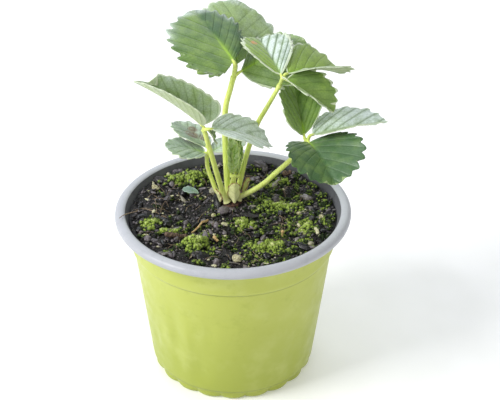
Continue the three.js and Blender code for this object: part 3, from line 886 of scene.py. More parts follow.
    def drill(self, shell: Piece) -> None:
        """Cuts the round drain holes through the floor."""
        for i in range(self.drain_holes):
            turn = 2 * pi * (i + 0.5) / self.drain_holes
            x, y = self.drain_circle * cos(turn), self.drain_circle * sin(turn)
            drill = primitive(
                "drill", bpy.ops.mesh.primitive_cylinder_add, vertices=28, radius=self.drain_radius,
                depth=4 * self.floor_top, location=(x, y, self.floor_top / 2),
            )
            apply_modifier(shell, "BOOLEAN", operation="DIFFERENCE", object=drill, solver="EXACT")
            bpy.data.objects.remove(drill, do_unlink=True)

    def paint(self, shell: Piece) -> None:
        """Gives each face the body's, the rim's or the inside's finish."""
        out, low = self.rim_finish
        for face in shell.data.polygons:
            x, y, z = face.center
            across = hypot(x, y)
            inwards = face.normal.x * x + face.normal.y * y < -self.inward * across and z > self.floor_top
            upwards = face.normal.z > self.upward and across < self.mouth_radius
            if z - x * self.slope > self.under_rim - low and across > self.mouth_radius + out:
                face.material_index = 1
            elif inwards or upwards:
                face.material_index = 2

    def build(self) -> Piece:
        """The whole shell in its three colours."""
        shell = spun("nursery_pot", self.profile(), self.sides)
        move_vertices(shell, self.shape(coordinates(shell)))
        self.drill(shell)
        self.paint(dressed(shell, Finish.POT_BODY, Finish.POT_RIM, Finish.POT_INSIDE))
        move_vertices(shell, placed(coordinates(shell)))
        select_only(shell)
        bpy.ops.object.shade_smooth_by_angle(angle=radians(self.crease_angle))
        return attach(shell, "pot")


# ---------------------------------------------------------------- soil
# radians that a loose thing may be turned by, and millimetres that moss keeps from the wall
ANY_TURN = (0, 6.28)
WALL_GAP = 0.8
# where the crown stands and its radius
CROWN_AT = (-1.1, 11.5)
CROWN_RADIUS = 5.8


@dataclass
class SoilBed:
    """Potting mix filling the pot: a crumbly surface, loose crumbs, fibres and grit."""

    pot: NurseryPot
    edge: float = 92.4
    mound: float = 1.8
    mound_spread: float = 17.0
    ripple: float = 0.55
    long_wave: Pair = (0.21, 0.17)
    short_wave: Pair = (0.33, 0.27)
    crown_seat: float = 94.2
    heap: float = 2.2
    heap_band: Pair = (34.0, 52.0)
    clearance: float = 0.3
    floor_gap: float = 0.35
    lumps: float = 2.0
    lump_band: Pair = (4.0, 9.0)
    sides: int = 150
    rings: int = 76
    seed: int = 5
    flake: Point = (1.5, 0.55, 0.22)
    unevenness: float = 0.55
    # loose crumbs: name, number, smallest and largest radius, how finely divided, share of light ones
    kinds: tuple[tuple[str, int, Pair, int, float], ...] = (
        ("soil_crumbs_fine", 4200, (0.3, 1.0), 1, 0.03),
        ("soil_crumbs_coarse", 520, (0.8, 2.4), 2, 0.03),
        ("soil_clods", 34, (2.0, 4.2), 3, 0.0),
        ("cream_grit", 34, (0.8, 1.7), 2, 1.0),
    )
    # a long bare root from the rim over the mix: the middle line, where a height of 0 is on the mix
    strand: tuple[Point, ...] = (
        (-61.8, -13.0, 100.3), (-59.8, -9.7, 100.1), (-56.6, -3.4, 97.6), (-53.0, 1.8, 0), (-49.8, 5.1, 0),
        (-43.3, 3.1, 0), (-39.3, 1.2, 0), (-36.5, -2.0, 0),
    )

    @property
    def top_radius(self) -> float:
        """Radius of the surface at the wall."""
        return self.pot.inside_radius(self.edge + self.heap) - self.clearance

    def from_crown(self, x: Array, y: Array) -> Array:
        """How far a place is from the crown's middle."""
        return np.hypot(x - CROWN_AT[0], y - CROWN_AT[1])

    def level(self, x: float, y: float) -> float:
        """Height of the surface before its heap and lumps."""
        away = self.from_crown(x, y)
        mound = self.mound * np.exp(-0.5 * (away / self.mound_spread) ** 2)
        long = np.sin(self.long_wave[0] * x + 0.5) * np.cos(self.long_wave[1] * y)
        short = np.sin(self.short_wave[0] * x - self.short_wave[1] * y)
        level = self.edge + mound + self.ripple * (long + 0.6 * short)
        share = smoothstep(away, CROWN_RADIUS + 1, CROWN_RADIUS + 5)
        return self.crown_seat + (level - self.crown_seat) * share

    def ground(self, x: float, y: float) -> float:
        """Height of the heaped, lumpy surface under a thing that lies on it."""
        heap = self.heap * smoothstep(hypot(x, y), *self.heap_band)
        clods = patchy(x, y, 0.13, 3.0, rough=0.8, gap=2.2, octaves=5)
        lumps = self.lumps * clods * smoothstep(self.from_crown(x, y), *self.lump_band)
        return float(self.level(x, y) + heap + lumps)

    def bed(self) -> Piece:
        """The lump itself, with a rough top."""
        side = [(self.pot.inside_radius(z) - self.clearance, z) for z in (86.0, 81.0, 77.0, 50.0, 25.0, 8.0)]
        bottom = self.pot.floor_top + self.floor_gap
        top = [(radius, self.edge) for radius in np.linspace(0.0, self.top_radius, self.rings)]
        corner = (self.pot.inside_radius(6.0) - 2.2, bottom + 1.4)
        lump = spun("potting_mix", [*top, *side, corner, (39.0, bottom), (0.0, bottom)], self.sides)
        points = coordinates(lump)
        on_top = points[:, 2] > self.edge - 0.01
        points[on_top, 2] = [self.ground(a, b) - 0.3 for a, b in points[on_top, :2]]
        return attach(dressed(settled(lump, points), Finish.SOIL), "soil")

    def scattered(self, rng: Generator, count: int, reach: float) -> Array:
        """Random places on the surface, clear of the crown, one row each."""
        radius = reach * np.sqrt(rng.random(count))
        turn = 2 * pi * rng.random(count)
        places = np.column_stack([radius * np.cos(turn), radius * np.sin(turn)])
        return places[self.from_crown(*places.T) > CROWN_RADIUS + 0.8]

    def crumbs(self, seed: int, name: str, count: int, sizes: Pair, divisions: int, bright: float) -> Piece:
        """Loose crumbs of one kind all over the surface, as one piece."""
        rng = np.random.default_rng(seed)
        ball, faces = template(bpy.ops.mesh.primitive_ico_sphere_add, subdivisions=divisions, radius=1.0)
        small, large = sizes
        solids = Solids()
        for x, y in self.scattered(rng, count, self.top_radius - 0.6):
            size = small + (large - small) * rng.random() ** 2.2
            shift = Vector(rng.uniform(0, 90, 3))
            rough = [noise.fractal(1.6 * Vector(point) + shift, 0.8, 2.1, 3) for point in ball]
            uneven = ball * (1 + self.unevenness * np.array(rough)[:, None])
            flat = rng.random() < 0.5
            shape = self.flake if flat else (1.0, 0.6 + 0.4 * rng.random(), 0.45 + 0.4 * rng.random())
            angles = rng.uniform(*ANY_TURN), rng.uniform(-0.7, 0.7), rng.uniform(*ANY_TURN)
            lift = self.ground(x, y) + 0.3 * size + rng.uniform(-0.3, 0.6)
            tint = 1.0 if rng.random() < bright else 0.9 * rng.random() ** 2.0
            solids.add(turned(uneven * shape * size, *angles) + (x, y, lift), faces, tint=tint)
        return attach(dressed(solids.piece(name), Finish.CRUMB))

    def fibres(self, count: int = 95, steps: int = 4) -> Piece:
        """Fine roots and coir fibres of a few straight steps lying on the mix, and the long bare root."""
        rng = np.random.default_rng(self.seed + 40)
        solids = Solids()
        for x, y in self.scattered(rng, count, self.top_radius - 6):
            heading, bend = rng.uniform(*ANY_TURN), rng.uniform(-0.5, 0.5)
            length, radius = rng.uniform(2.5, 13.0), rng.uniform(0.07, 0.16)
            route = []
            for t in np.linspace(0, 1, steps + 1):
                route.append((x, y, self.ground(x, y) + 0.9 + 0.8 * sin(3.1 * t)))
                x += length / steps * cos(heading + bend * steps * t)
                y += length / steps * sin(heading + bend * steps * t)
                if hypot(x, y) > self.top_radius - 1:
                    heading += pi / 2
            solids.add(*tube(np.array(route), np.full(steps + 1, radius), sides=4))
        middle = centripetal([(x, y, z or self.ground(x, y) + 0.7) for x, y, z in self.strand], 5)
        radii = 0.12 + 0.2 * np.sin(np.linspace(0.3, 2.9, len(middle)))
        solids.add(*tube(middle, radii, sides=6))
        return attach(dressed(solids.piece("root_fibres"), Finish.FIBRE))

    def build(self) -> None:
        """The bed and all that is loose on it."""
        self.bed()
        for number, kind in enumerate(self.kinds):
            self.crumbs(self.seed + number, *kind)
        self.fibres()


@dataclass
class MossShoot:
    """A tiny rosette of pointed leaves, one millimetre tall, and how near its tips each vertex is."""

    vertices: Array
    faces: Faces
    tips: Array

    @classmethod
    def grown(cls, leaves: int = 6) -> "MossShoot":
        """The rosette: one upright bud in a whorl of spreading leaves."""
        blade, faces = spike(0.3)
        solids = Solids()
        solids.add(blade * (0.8, 0.8, 0.9), faces, tip=blade[:, 2])
        for i in range(leaves):
            leaf = turned(blade * (1.0, 0.8, 0.95), 2 * pi * i / leaves, 0.75 + 0.35 * (i % 2), 0.5)
            solids.add(leaf, faces, tip=blade[:, 2])
        return cls(np.vstack(solids.vertices), solids.faces, np.concatenate(solids.values["tip"]))

    def plant(self, solids: Solids, size: float, angles: Point, place: Point, shade: float) -> None:
        """Adds one shoot of a size at a place, turned by heading, lean and spin, lighter at its tips."""
        vertices = turned(self.vertices * size, *angles) + place
        solids.add(vertices, self.faces, tint=shade + 0.7 * (self.tips - 0.5))


@dataclass
class MossCushion:
    """One low cushion of moss on the soil, made of crowded pointed shoots."""

    number: int
    x: float
    y: float
    length: float
    width: float
    height: float
    turn: float
    density: float = 2.3

    def outline(self, angle: float) -> float:
        """How far the ragged edge reaches at an angle, as a part of the plain oval."""
        return 1 + 0.09 * sin(3 * angle + self.x) + 0.06 * sin(5 * angle + self.y)

    def place(self, part: float, angle: float) -> Pair:
        """Place of a point given as a part of the way to the edge and an angle."""
        along = 0.5 * self.length * part * self.outline(angle) * cos(angle)
        across = 0.5 * self.width * part * self.outline(angle) * sin(angle)
        turn = radians(self.turn)
        return (
            self.x + along * cos(turn) - across * sin(turn),
            self.y + along * sin(turn) + across * cos(turn),
        )

    def build(self, soil: SoilBed, shoot: MossShoot, seed: int) -> Piece:
        """The cushion's shoots on the soil, as one piece."""
        rng = np.random.default_rng(seed)
        area = 0.25 * pi * self.length * self.width
        solids = Solids()
        for _ in range(int(area * self.density)):
            part, angle = sqrt(1.7 * rng.random()), rng.uniform(0, 2 * pi)
            x, y = self.place(part, angle)
            gap = patchy(x, y, 0.3, 5.0)
            if 0.9 * gap < part - 0.95 or hypot(x, y) > soil.top_radius - WALL_GAP:
                continue
            dome = 0.9 * self.height * max(0.0, 1 - part ** 2) + 1.1 * gap
            size = 1.2 + 1.9 * rng.random() ** 1.6
            angles = rng.uniform(*ANY_TURN), rng.uniform(0, 0.7), rng.uniform(*ANY_TURN)
            shade = 0.5 + 0.4 * rng.random() + 0.25 * (1 - part) + 0.3 * gap
            shoot.plant(solids, size, angles, (x, y, soil.ground(x, y) + dome + 0.2), shade)
        piece = dressed(solids.piece(f"moss_{self.number}_cushion"), Finish.MOSS)
        return attach(piece, f"moss_{self.number}")


@dataclass
class MossCover:
    """All the moss on the soil."""

    soil: SoilBed
    cushions: tuple[MossCushion, ...] = (
        MossCushion(1, -27, 38.5, 25, 13, 2.6, 12),
        MossCushion(2, -45, -9.5, 13, 9, 1.8, 80),
        MossCushion(3, -33.5, -15.5, 13, 7, 1.5, 20),
        MossCushion(4, -19.5, -29, 16, 15, 4.2, 0),
        MossCushion(5, 6.5, -10, 13, 10, 1.8, 100),
        MossCushion(6, 26, 11, 24, 11, 2.2, -12),
        MossCushion(7, 39, -12.5, 17, 10, 1.8, 60),
        MossCushion(8, 21, -31, 27, 13, 2.3, 10),
        MossCushion(9, 25, 34, 15, 7, 1.6, 5),
    )
    clumps: int = 1900

    def nearness(self, x: float, y: float) -> float:
        """How near a place is to a cushion, from 0 far away to 1 in its middle."""
        return max(
            exp(-(hypot(x - pad.x, y - pad.y) / (0.45 * (pad.length + pad.width))) ** 2)
            for pad in self.cushions
        )

    def build(self) -> None:
        """Every cushion and the small clumps between them."""
        shoot = MossShoot.grown()
        for i, cushion in enumerate(self.cushions):
            cushion.build(self.soil, shoot, 100 + i)
        rng = np.random.default_rng(77)
        solids = Solids()
        for middle_x, middle_y in self.soil.scattered(rng, self.clumps, self.soil.top_radius - 1):
            sparse = 0.22 - 0.5 * self.nearness(middle_x, middle_y) - 0.006 * middle_x
            if patchy(middle_x, middle_y, 0.14, 7.0) < sparse:
                continue
            shade = rng.uniform(0.0, 0.75)
            spread = rng.uniform(0.3, 1.1)
            for _ in range(int(rng.integers(1, 10))):
                x, y = middle_x + spread * rng.normal(), middle_y + spread * rng.normal()
                if hypot(x, y) > self.soil.top_radius - WALL_GAP:
                    continue
                size = rng.uniform(0.9, 2.4)
                angles = rng.uniform(*ANY_TURN), rng.uniform(0, 0.9), 0.0
                own_shade = shade + rng.uniform(-0.15, 0.2)
                place = (x, y, self.soil.ground(x, y) + rng.uniform(0.0, 1.3))
                shoot.plant(solids, size, angles, place, own_shade)
        attach(dressed(solids.piece("stray_moss"), Finish.MOSS))


# ---------------------------------------------------------------- leaves
@dataclass
class Look:
    """How one leaflet differs from its neighbours; pairs are its left and right half."""

    # from deep to fresh green, and from bare to covered by painted sheen
    tone: Pair = (0.45, 0.45)
    painted_sheen: Pair = (0.1, 0.1)
    # how pale the rib is and how far along, the pale margin's width, how clear veins are, painted sheen at
    # the tip
    rib: float = 0.6
    rib_reach: float = 0.55
    margin: float = 1.0
    furrow: float = 0.22
    tip: float = 0.0
    # damage: part of the way along, -1 to 1 across, radius in millimetres
    spots: tuple[Point, ...] = ()


@dataclass
class VeinMap:
    """Where each vertex of a blade lies among its veins.

    Along and across the blade, where on the rib its side vein starts and which tooth that vein ends in, and
    the seed of the leaflet's own unevenness.
    """

    u: Array
    v: Array
    start: Array
    count: Array
    seed: int

    @property
    def edge_share(self) -> Array:
        """Part of the way from the rib to the margin."""
        return np.abs(self.v)


@dataclass
class Leaflet:
    """One leaflet. Its rib leaves the base at heading and rise; angles in degrees, sizes in millimetres."""

    name: str
    base: Point
    heading: float
    rise: float
    roll: float
    length: float
    halves: Pair
    peaks: Pair
    arch: float
    folds: Pair
    cup: float
    backs: Pair = (0.0, 0.0)
    teeth: int = 10
    tooth_depth: float = 2.0
    tooth_from: float = 0.22
    apex: float = 0.58
    quilt: float = 0.26
    waves: float = 0.5
    thickness: float = 0.34
    rows: int = 140
    columns: int = 34
    vein_angles: Pair = (62.0, 32.0)
    vein_sweep: float = 0.25
    # how much of each half is missing near the tip
    nips: Pair = (0.0, 0.0)
    look: Look = field(default_factory=Look)
    # half widths of the rib's furrow and of its pale glow
    rib_width: float = 0.7
    rib_glow: float = 3.4

    def axes(self) -> tuple[Array, Array, Array]:
        """Directions along the rib, across to the left and up out of the blade."""
        heading, rise, roll = (radians(a) for a in (self.heading, self.rise, self.roll))
        along = np.array([
            cos(heading) * cos(rise), sin(heading) * cos(rise), sin(rise),
        ])
        level = np.array([-sin(heading), cos(heading), 0.0])
        across = level * cos(roll) + np.cross(along, level) * sin(roll)
        return along, across, np.cross(along, across)

    @staticmethod
    def outline(u: Array, peak: Array) -> Array:
        """Half width along the rib, as a part of the widest."""
        rising = np.maximum(0, 1 - np.maximum(0, 1 - u / peak) ** 1.9) ** 0.75
        falling = np.sqrt(np.maximum(0, 1 - (np.maximum(0, u - peak) / (1 - peak)) ** 2.2))
        return np.where(u < peak, rising, falling)

    @staticmethod
    def pick(pair: Pair, v: Array) -> Array:
        """The left half's value where v is positive, and the right half's elsewhere."""
        return np.where(v >= 0, pair[0], pair[1])

    def width(self, u: Array, v: Array) -> Array:
        """Distance from the rib to the margin of the half that a place is on."""
        return self.pick(self.halves, v) * self.outline(u, self.pick(self.peaks, v))

    def surface(self, u: Array, v: Array) -> Array:
        """Places of the blade's middle sheet.

        Args:
            u: parts of the way along the rib.
            v: parts of the way to the left margin, negative to the right.

        Returns:
            One row for each place, in millimetres from the pot's axis.
        """
        arch = radians(self.arch)
        cup = radians(self.cup) or 1e-6
        fold = np.radians(self.pick(self.folds, v))
        shape = self.outline(u, self.pick(self.peaks, v))
        width = self.pick(self.halves, v) * shape
        t = np.abs(v)
        side = np.sign(v) * width * (np.sin(fold + cup * t) - np.sin(fold)) / cup
        lift = width * (np.cos(fold) - np.cos(fold + cup * t)) / cup
        back = self.pick(self.backs, v) * shape * self.length * (1 - u) ** 2 * t
        bend = arch * u
        x = self.length * np.sin(bend) / arch + lift * np.sin(bend) - back * np.cos(bend)
        z = -self.length * (1 - np.cos(bend)) / arch + lift * np.cos(bend) + back * np.sin(bend)
        along, across, up = self.axes()
        return np.array(self.base) + x[:, None] * along + side[:, None] * across + z[:, None] * up

    def normals(self, u: Array, v: Array, step: float = 2e-3, near_rib: float = 0.04) -> Array:
        """Directions out of the upper side, one row each; near the rib both halves count."""
        inner = np.clip(u, 0.02, 0.98)
        rib = self.surface(inner + step, v) - self.surface(inner - step, v)
        out = np.where(np.abs(v) < near_rib, near_rib, np.abs(v))
        left = self.surface(inner, out) - self.surface(inner, out - 0.03)
        right = self.surface(inner, -out + 0.03) - self.surface(inner, -out)
        middle = (np.abs(v) < near_rib)[:, None]
        across = np.where(middle, left + right, np.where((v > 0)[:, None], left, right))
        normal = np.cross(rib, across)
        return normal / np.maximum(np.linalg.norm(normal, axis=1, keepdims=True), 1e-9)

    def vein_start(self, u: Array, v: Array, halvings: int = 20) -> Array:
        """Where on the rib the side vein through each place leaves it, found by halving the range."""
        shape = self.outline(u, self.pick(self.peaks, v))
        aside = np.abs(v) * self.pick(self.halves, v) * shape / self.length
        at = u - self.pick(self.backs, v) * shape * (1 - u) ** 2 * np.abs(v)
        low, high = np.full_like(u, -0.9), np.full_like(u, 1.1)
        first, last = self.vein_angles
        for _ in range(halvings):
            middle = 0.5 * (low + high)
            angle = np.radians(np.clip(first + (last - first) * middle, 30, 120))
            ahead = at - aside * np.cos(angle) / np.sin(angle) - self.vein_sweep * aside ** 2 > middle
            low, high = np.where(ahead, middle, low), np.where(ahead, high, middle)
        return 0.5 * (low + high)

    def tooth_count(self, v: Array, start: Array, steps: int = 240) -> Array:
        """Counts teeth from the base up to the end of each place's side vein; whole in a notch."""
        count = np.zeros_like(start)
        along = np.linspace(0, 1, steps)
        for edge, own in ((1.0, v >= 0), (-1.0, v < 0)):
            margin = self.surface(along, np.full(steps, edge))
            lengths = np.concatenate([[0], np.cumsum(np.linalg.norm(np.diff(margin, axis=0), axis=1))])
            starts = self.vein_start(along, np.full(steps, edge))
            first = int(np.argmin(starts))
            teeth = self.teeth * lengths / lengths[-1]
            count[own] = np.interp(start[own], np.maximum.accumulate(starts[first:]), teeth[first:])
        return count

    def toothed(self, veins: VeinMap) -> Array:
        """Places of the sheet with its teeth and worn bits cut, one row each."""
        u, v, count = veins.u, veins.v, veins.count
        points = self.surface(u, v)
        inwards = self.surface(np.clip(veins.start, 0, 1), np.zeros_like(v)) - points
        reach = np.maximum(np.linalg.norm(inwards, axis=1, keepdims=True), 1e-6)
        part = count - np.floor(count)
        aslant = np.where(part < self.apex, 1 - part / self.apex, (part - self.apex) / (1 - self.apex))
        notch = aslant ** 1.8 * smoothstep(u, self.tooth_from, self.tooth_from + 0.03)
        uneven = 1 + 0.22 * np.sin(1.7 * np.floor(count + 0.5) + veins.seed)
        cut = self.tooth_depth * notch * uneven * veins.edge_share ** 6
        worn = self.pick(self.nips, v) * smoothstep(u, 0.83, 0.91) * veins.edge_share * reach[:, 0]
        return points + inwards / reach * np.minimum((cut + worn)[:, None], 0.7 * reach)

    def swell(self, veins: VeinMap) -> Array:
        """How far each place stands out: the quilt between veins, the sunk rib, waves and ripples."""
        u, v, seed, edge_share = veins.u, veins.v, veins.seed, veins.edge_share
        rib_mm = edge_share * self.width(u, v)
        open_blade = smoothstep(rib_mm, 0.3, 3.0) * (1 - 0.5 * smoothstep(edge_share, 0.75, 1.0))
        ridges = np.abs(np.sin(pi * (veins.count - self.apex))) ** 0.8
        quilt = self.quilt * (ridges - 0.55) * open_blade
        furrow = -0.4 * np.exp(-(rib_mm / self.rib_width) ** 2) * (1 - 0.6 * u) * smoothstep(u, 0.0, 0.06)
        wave = self.waves * np.sin(6.3 * pi * veins.start + seed) * edge_share ** 3
        ripple = 0.5 * self.waves * np.sin(9 * u + 1.3 * seed) * np.cos(2.4 * v + seed) * edge_share
        ends = smoothstep(u, 0.0, 0.05) * (1 - smoothstep(u, 0.97, 1.0))
        return (quilt + furrow + wave + ripple) * ends

    def mark(self, blade: Piece, veins: VeinMap, points: Array) -> None:
        """Stores the numbers that the leaf's finish reads; the points are the blade's, in millimetres."""
        u, edge_share, look = veins.u, veins.edge_share, self.look
        width = self.width(u, veins.v)
        rib_mm = edge_share * width
        rib = 0.9 * np.exp(-(rib_mm / self.rib_width) ** 2) + 0.42 * np.exp(-(rib_mm / self.rib_glow) ** 2)
        on_left = smoothstep(veins.v, -0.06, 0.06)
        # each half's tone and painted sheen, blended across the rib
        tone, painted_sheen = (right + (left - right) * on_left for left, right in (look.tone, look.painted_sheen))
        # painted sheen towards the tip and the far margins
        tip = look.tip * np.maximum(smoothstep(u, 0.86, 1.0), smoothstep(u, 0.55, 0.8) * edge_share ** 5)
        spot = np.zeros_like(u)
        for along, across, radius in look.spots:
            centre = self.surface(np.array([along]), np.array([across]))
            away = np.linalg.norm(points - centre, axis=1)
            spot = np.maximum(spot, 1 - smoothstep(away, 0.55 * radius, radius))
        for name, values in (
            ("vein", veins.count - self.apex),
            ("edge", (1 - edge_share) * width + 1 - look.margin),
            ("rib", look.rib * rib * (1 - smoothstep(u, 0.1, look.rib_reach))),
            ("tone", tone),
            ("painted_sheen", np.clip(painted_sheen + tip, 0, 1)),
            ("furrow", np.full_like(u, look.furrow)),
            ("spot", spot),
        ):
            store(blade, name, values)

    def build(self, top: Finish = Finish.LEAF_TOP, under: Finish = Finish.LEAF_UNDER) -> Piece:
        """The toothed, quilted blade as a thin closed piece with a finish on each side."""
        blade = primitive(
            self.name + "_blade", bpy.ops.mesh.primitive_grid_add, x_subdivisions=self.rows,
            y_subdivisions=self.columns, size=2.0,
        )
        grid = coordinates(blade)
        u, v = 0.5 - 0.5 * np.cos(pi * (0.5 + 0.5 * grid[:, 0])), grid[:, 1]
        start = self.vein_start(u, v)
        veins = VeinMap(u, v, start, self.tooth_count(v, start), sum(ord(letter) for letter in self.name))
        points = self.toothed(veins) + self.normals(u, v) * self.swell(veins)[:, None]
        move_vertices(blade, placed(points))
        self.mark(blade, veins, points)
        with editing(blade):
            bpy.ops.mesh.remove_doubles(threshold=0.002 * MM)
        dressed(blade, top, under)
        apply_modifier(blade, "SOLIDIFY", thickness=self.thickness * MM, offset=0.0, material_offset=1)
        smooth(blade)
        return attach(blade, self.name)

    def before(self, distance: float) -> Array:
        """The place on the leaflet's own short stalk at a distance before its base."""
        return np.array(self.base) - self.axes()[0] * distance


@dataclass
class Stalk:
    """One petiole with its short branch to each leaflet, covered in fine standing hairs."""

    name: str
    route: tuple[Point, ...]
    radii: Pair
    hairs: int = 700
    hair_length: float = 1.25
    hair_radius: float = 0.055
    branch_hairs_per_mm: int = 6
    sides: int = 16
    steps: int = 7

    def lines(self, leaflets: Sequence[Leaflet]) -> list[tuple[Array, Array]]:
        """Route and radii of the petiole and of each branch."""
        main = centripetal(self.route, self.steps)
        share = np.linspace(0, 1, len(main))
        sheath = 0.55 * np.exp(-share / 0.05)
        knuckle = 0.3 * np.exp(-((share - 0.99) / 0.02) ** 2)
        made = [(main, self.radii[0] + (self.radii[1] - self.radii[0]) * share + sheath + knuckle)]
        for leaflet in leaflets:
            branch = centripetal([self.route[-1], leaflet.before(1.6), leaflet.before(-0.8)], self.steps)
            made.append((branch, np.linspace(0.86 * self.radii[1], 0.62, len(branch))))
        return made

    def grow_hairs(self, fur: Solids, route: Array, radii: Array, count: int, rng: Generator) -> None:
        """Adds a number of hairs that stand out all round a bar with a middle line and radii."""
        tangents, first, second = frames_along(route)
        thorn, faces = spike(1.0)
        for _ in range(count):
            at = rng.integers(0, len(route) - 1)
            place = route[at] + (route[at + 1] - route[at]) * rng.random()
            angle = rng.uniform(0, 2 * pi)
            out = first[at] * cos(angle) + second[at] * sin(angle)
            lean = out + 0.35 * tangents[at] * rng.uniform(-0.5, 1.2)
            lean /= np.linalg.norm(lean)
            side = np.cross(lean, tangents[at])
            side /= np.linalg.norm(side)
            turn = np.column_stack([side, np.cross(lean, side), lean])
            size = self.hair_length * rng.uniform(0.5, 1.15)
            hair = thorn * (self.hair_radius, self.hair_radius, size)
            fur.add(hair @ turn.T + place + out * radii[at] * 0.93, faces)

    def build(self, leaflets: Sequence[Leaflet], seed: int) -> None:
        """The petiole and its hairs, as two pieces.

        Args:
            leaflets: the leaflets that its branches carry.
            seed: start of its random numbers.
        """
        rng = np.random.default_rng(seed)
        bars, fur = Solids(), Solids()
        for number, (route, radii) in enumerate(self.lines(leaflets)):
            bars.add(*tube(route, radii, self.sides))
            length = np.linalg.norm(np.diff(route, axis=0), axis=1).sum()
            count = int(self.branch_hairs_per_mm * length) if number else self.hairs
            self.grow_hairs(fur, route, radii, count, rng)
        attach(dressed(bars.piece(self.name + "_skin"), Finish.STALK), self.name)
        attach(dressed(fur.piece(self.name + "_hairs"), Finish.HAIR))


@dataclass
class Leaf:
    """A compound leaf: one stalk and its leaflets."""

    stalk: Stalk
    leaflets: tuple[Leaflet, ...]
    top: Finish = Finish.LEAF_TOP
    under: Finish = Finish.LEAF_UNDER

    def build(self, seed: int) -> None:
        """The stalk and every leaflet."""
        self.stalk.build(self.leaflets, seed)
        for leaflet in self.leaflets:
            leaflet.build(self.top, self.under)


# A Leaflet's numbers below: base, heading, rise, roll, length, halves, peaks, arch, folds, cup, backs,
# teeth, tooth depth and start. A Stalk's: places from the crown up, radius at both ends, number of hairs.

LEAF_1 = Leaf(
    Stalk("stalk_1", (
        (-2.7, 15, 97.6), (-2.9, 15.7, 101), (-3.9, 18, 119), (-4.4, 21.5, 141), (-3.8, 23.5, 150.4),
        (-1.6, 25.5, 158.6), (0.4, 27.2, 166),
    ), (1.8, 1.45), 1000),
    (
        Leaflet("leaflet_1_left", (0, 22.3, 177.6), 121.5, 24, 0, 44, (28, 19.3), (0.49, 0.61), 11.5,
                (3, -1), -9, (0.74, -0.06), 12, 5.2, 0.0, quilt=0.17, vein_angles=(48, 24),
                look=Look((0.45, 0.1), (0.06, 0.04), 1.0, 0.6, 0.35, 0.2, tip=0.9)),
        Leaflet("leaflet_1_top", (1.8, 35.8, 168.8), 88, 31.5, 14.5, 45.3, (21, 26.6), (0.65, 0.52), 8.5,
                (2, -12), -8, (0.08, -0.5), 10, 2.4, quilt=0.17, vein_angles=(48, 24),
                look=Look((0.95, 0.9), (0.25, 0.3), 0.5, 0.5, 1.6, 0.14, 0.6)),
        Leaflet("leaflet_1_right", (4.4, 27.6, 168.8), 30.5, 18, 7, 41.8, (22, 22.8), (0.6, 0.49), 9,
                (-2, -18), -13, (-0.3, 0.13), 9, 4.6, 0.0, vein_angles=(52, 28),
                look=Look((0.6, 0.65), (0.15, 0.2), 0.9, 0.4, 1.8)),
    ),
)

LEAF_2 = Leaf(
    Stalk("stalk_2", (
        (1.3, 14.7, 97.6), (3.2, 15.4, 103.6), (6.7, 17.5, 119), (9.2, 20.4, 127.2), (13.7, 22, 140.2),
        (18, 20.8, 149.4), (21.6, 17.8, 158.2), (25.2, 16, 166.6),
    ), (1.6, 1.15), 900),
    (
        Leaflet("leaflet_2_left", (25.5, 15, 172.8), 107, 14, -1, 38.4, (16, 15.2), (0.62, 0.63), 16,
                (28, 27), -9, (0.07, -0.13), 11, 3.2, quilt=0.6, vein_angles=(36, 16),
                look=Look((0.95, 0.35), (0.0, 1.0), 0.5, 0.5, 2.4, 0.6, 0.4, ((0.76, 0.42, 2.4),))),
        Leaflet("leaflet_2_top", (29, 15.6, 173.2), 37, -1, -5, 39.5, (21.5, 20.4), (0.51, 0.57), 30,
                (33, 25), -10, (-0.12, 0.05), 11, 2.8, vein_angles=(50, 28),
                look=Look((0.95, 0.75), (0.0, 0.2), 0.6, margin=2.0)),
        Leaflet("leaflet_2_right", (28.1, 10, 172.4), -20, -27, -1, 30.5, (18, 19), (0.44, 0.54), 5,
                (31, 35), -12, (0.06, 0.5), 9, 4.0, quilt=0.42, vein_angles=(54, 28),
                look=Look((0.6, 0.8), (0.05, 0.0), 0.8, 0.5, 2.2)),
    ),
)

LEAF_3 = Leaf(
    Stalk("stalk_3", (
        (3.1, 10.9, 97.7), (3.8, 10.9, 99.2), (7.2, 10.8, 101.2), (12.3, 10, 104.8), (17.8, 9, 109.8),
        (23.1, 8, 116), (28.5, 7, 122.2), (34.8, 5.5, 130), (40, 4.5, 137.2),
    ), (1.6, 1.3), 700),
    (
        Leaflet("leaflet_3_left", (38.3, 6, 141.3), 98, 32, 6, 38, (15.8, 15.5), (0.42, 0.61), 14,
                (36, 35), 0, (0.25, -0.04), 10, 1.8, quilt=0.4, vein_angles=(34, 16),
                look=Look((0.9, 0.45), (0.12, 0.04), 1.0, 0.3, furrow=0.42)),
        Leaflet("leaflet_3_right", (43, 4.4, 142.3), 12, 11, -6, 41, (18, 18), (0.42, 0.58), 12,
                (18, 26), -8, (0.05, 0.1), 10, 1.8, vein_angles=(38, 18),
                look=Look((0.6, 0.8), (1.1, 0.3), 0.3, furrow=0.4, tip=0.7)),
        Leaflet("leaflet_3_front", (40.9, 2, 138.8), -71, 6, 4, 36.5, (24.2, 22.5), (0.54, 0.64), 33,
                (14, 17), 14, (0.11, 0.27), 11, 3.5, quilt=0.4, vein_angles=(62, 26),
                look=Look((0.0, 0.1), (0.1, 0.02), 0.5, 0.3, 0.0, 0.16)),
    ),
)

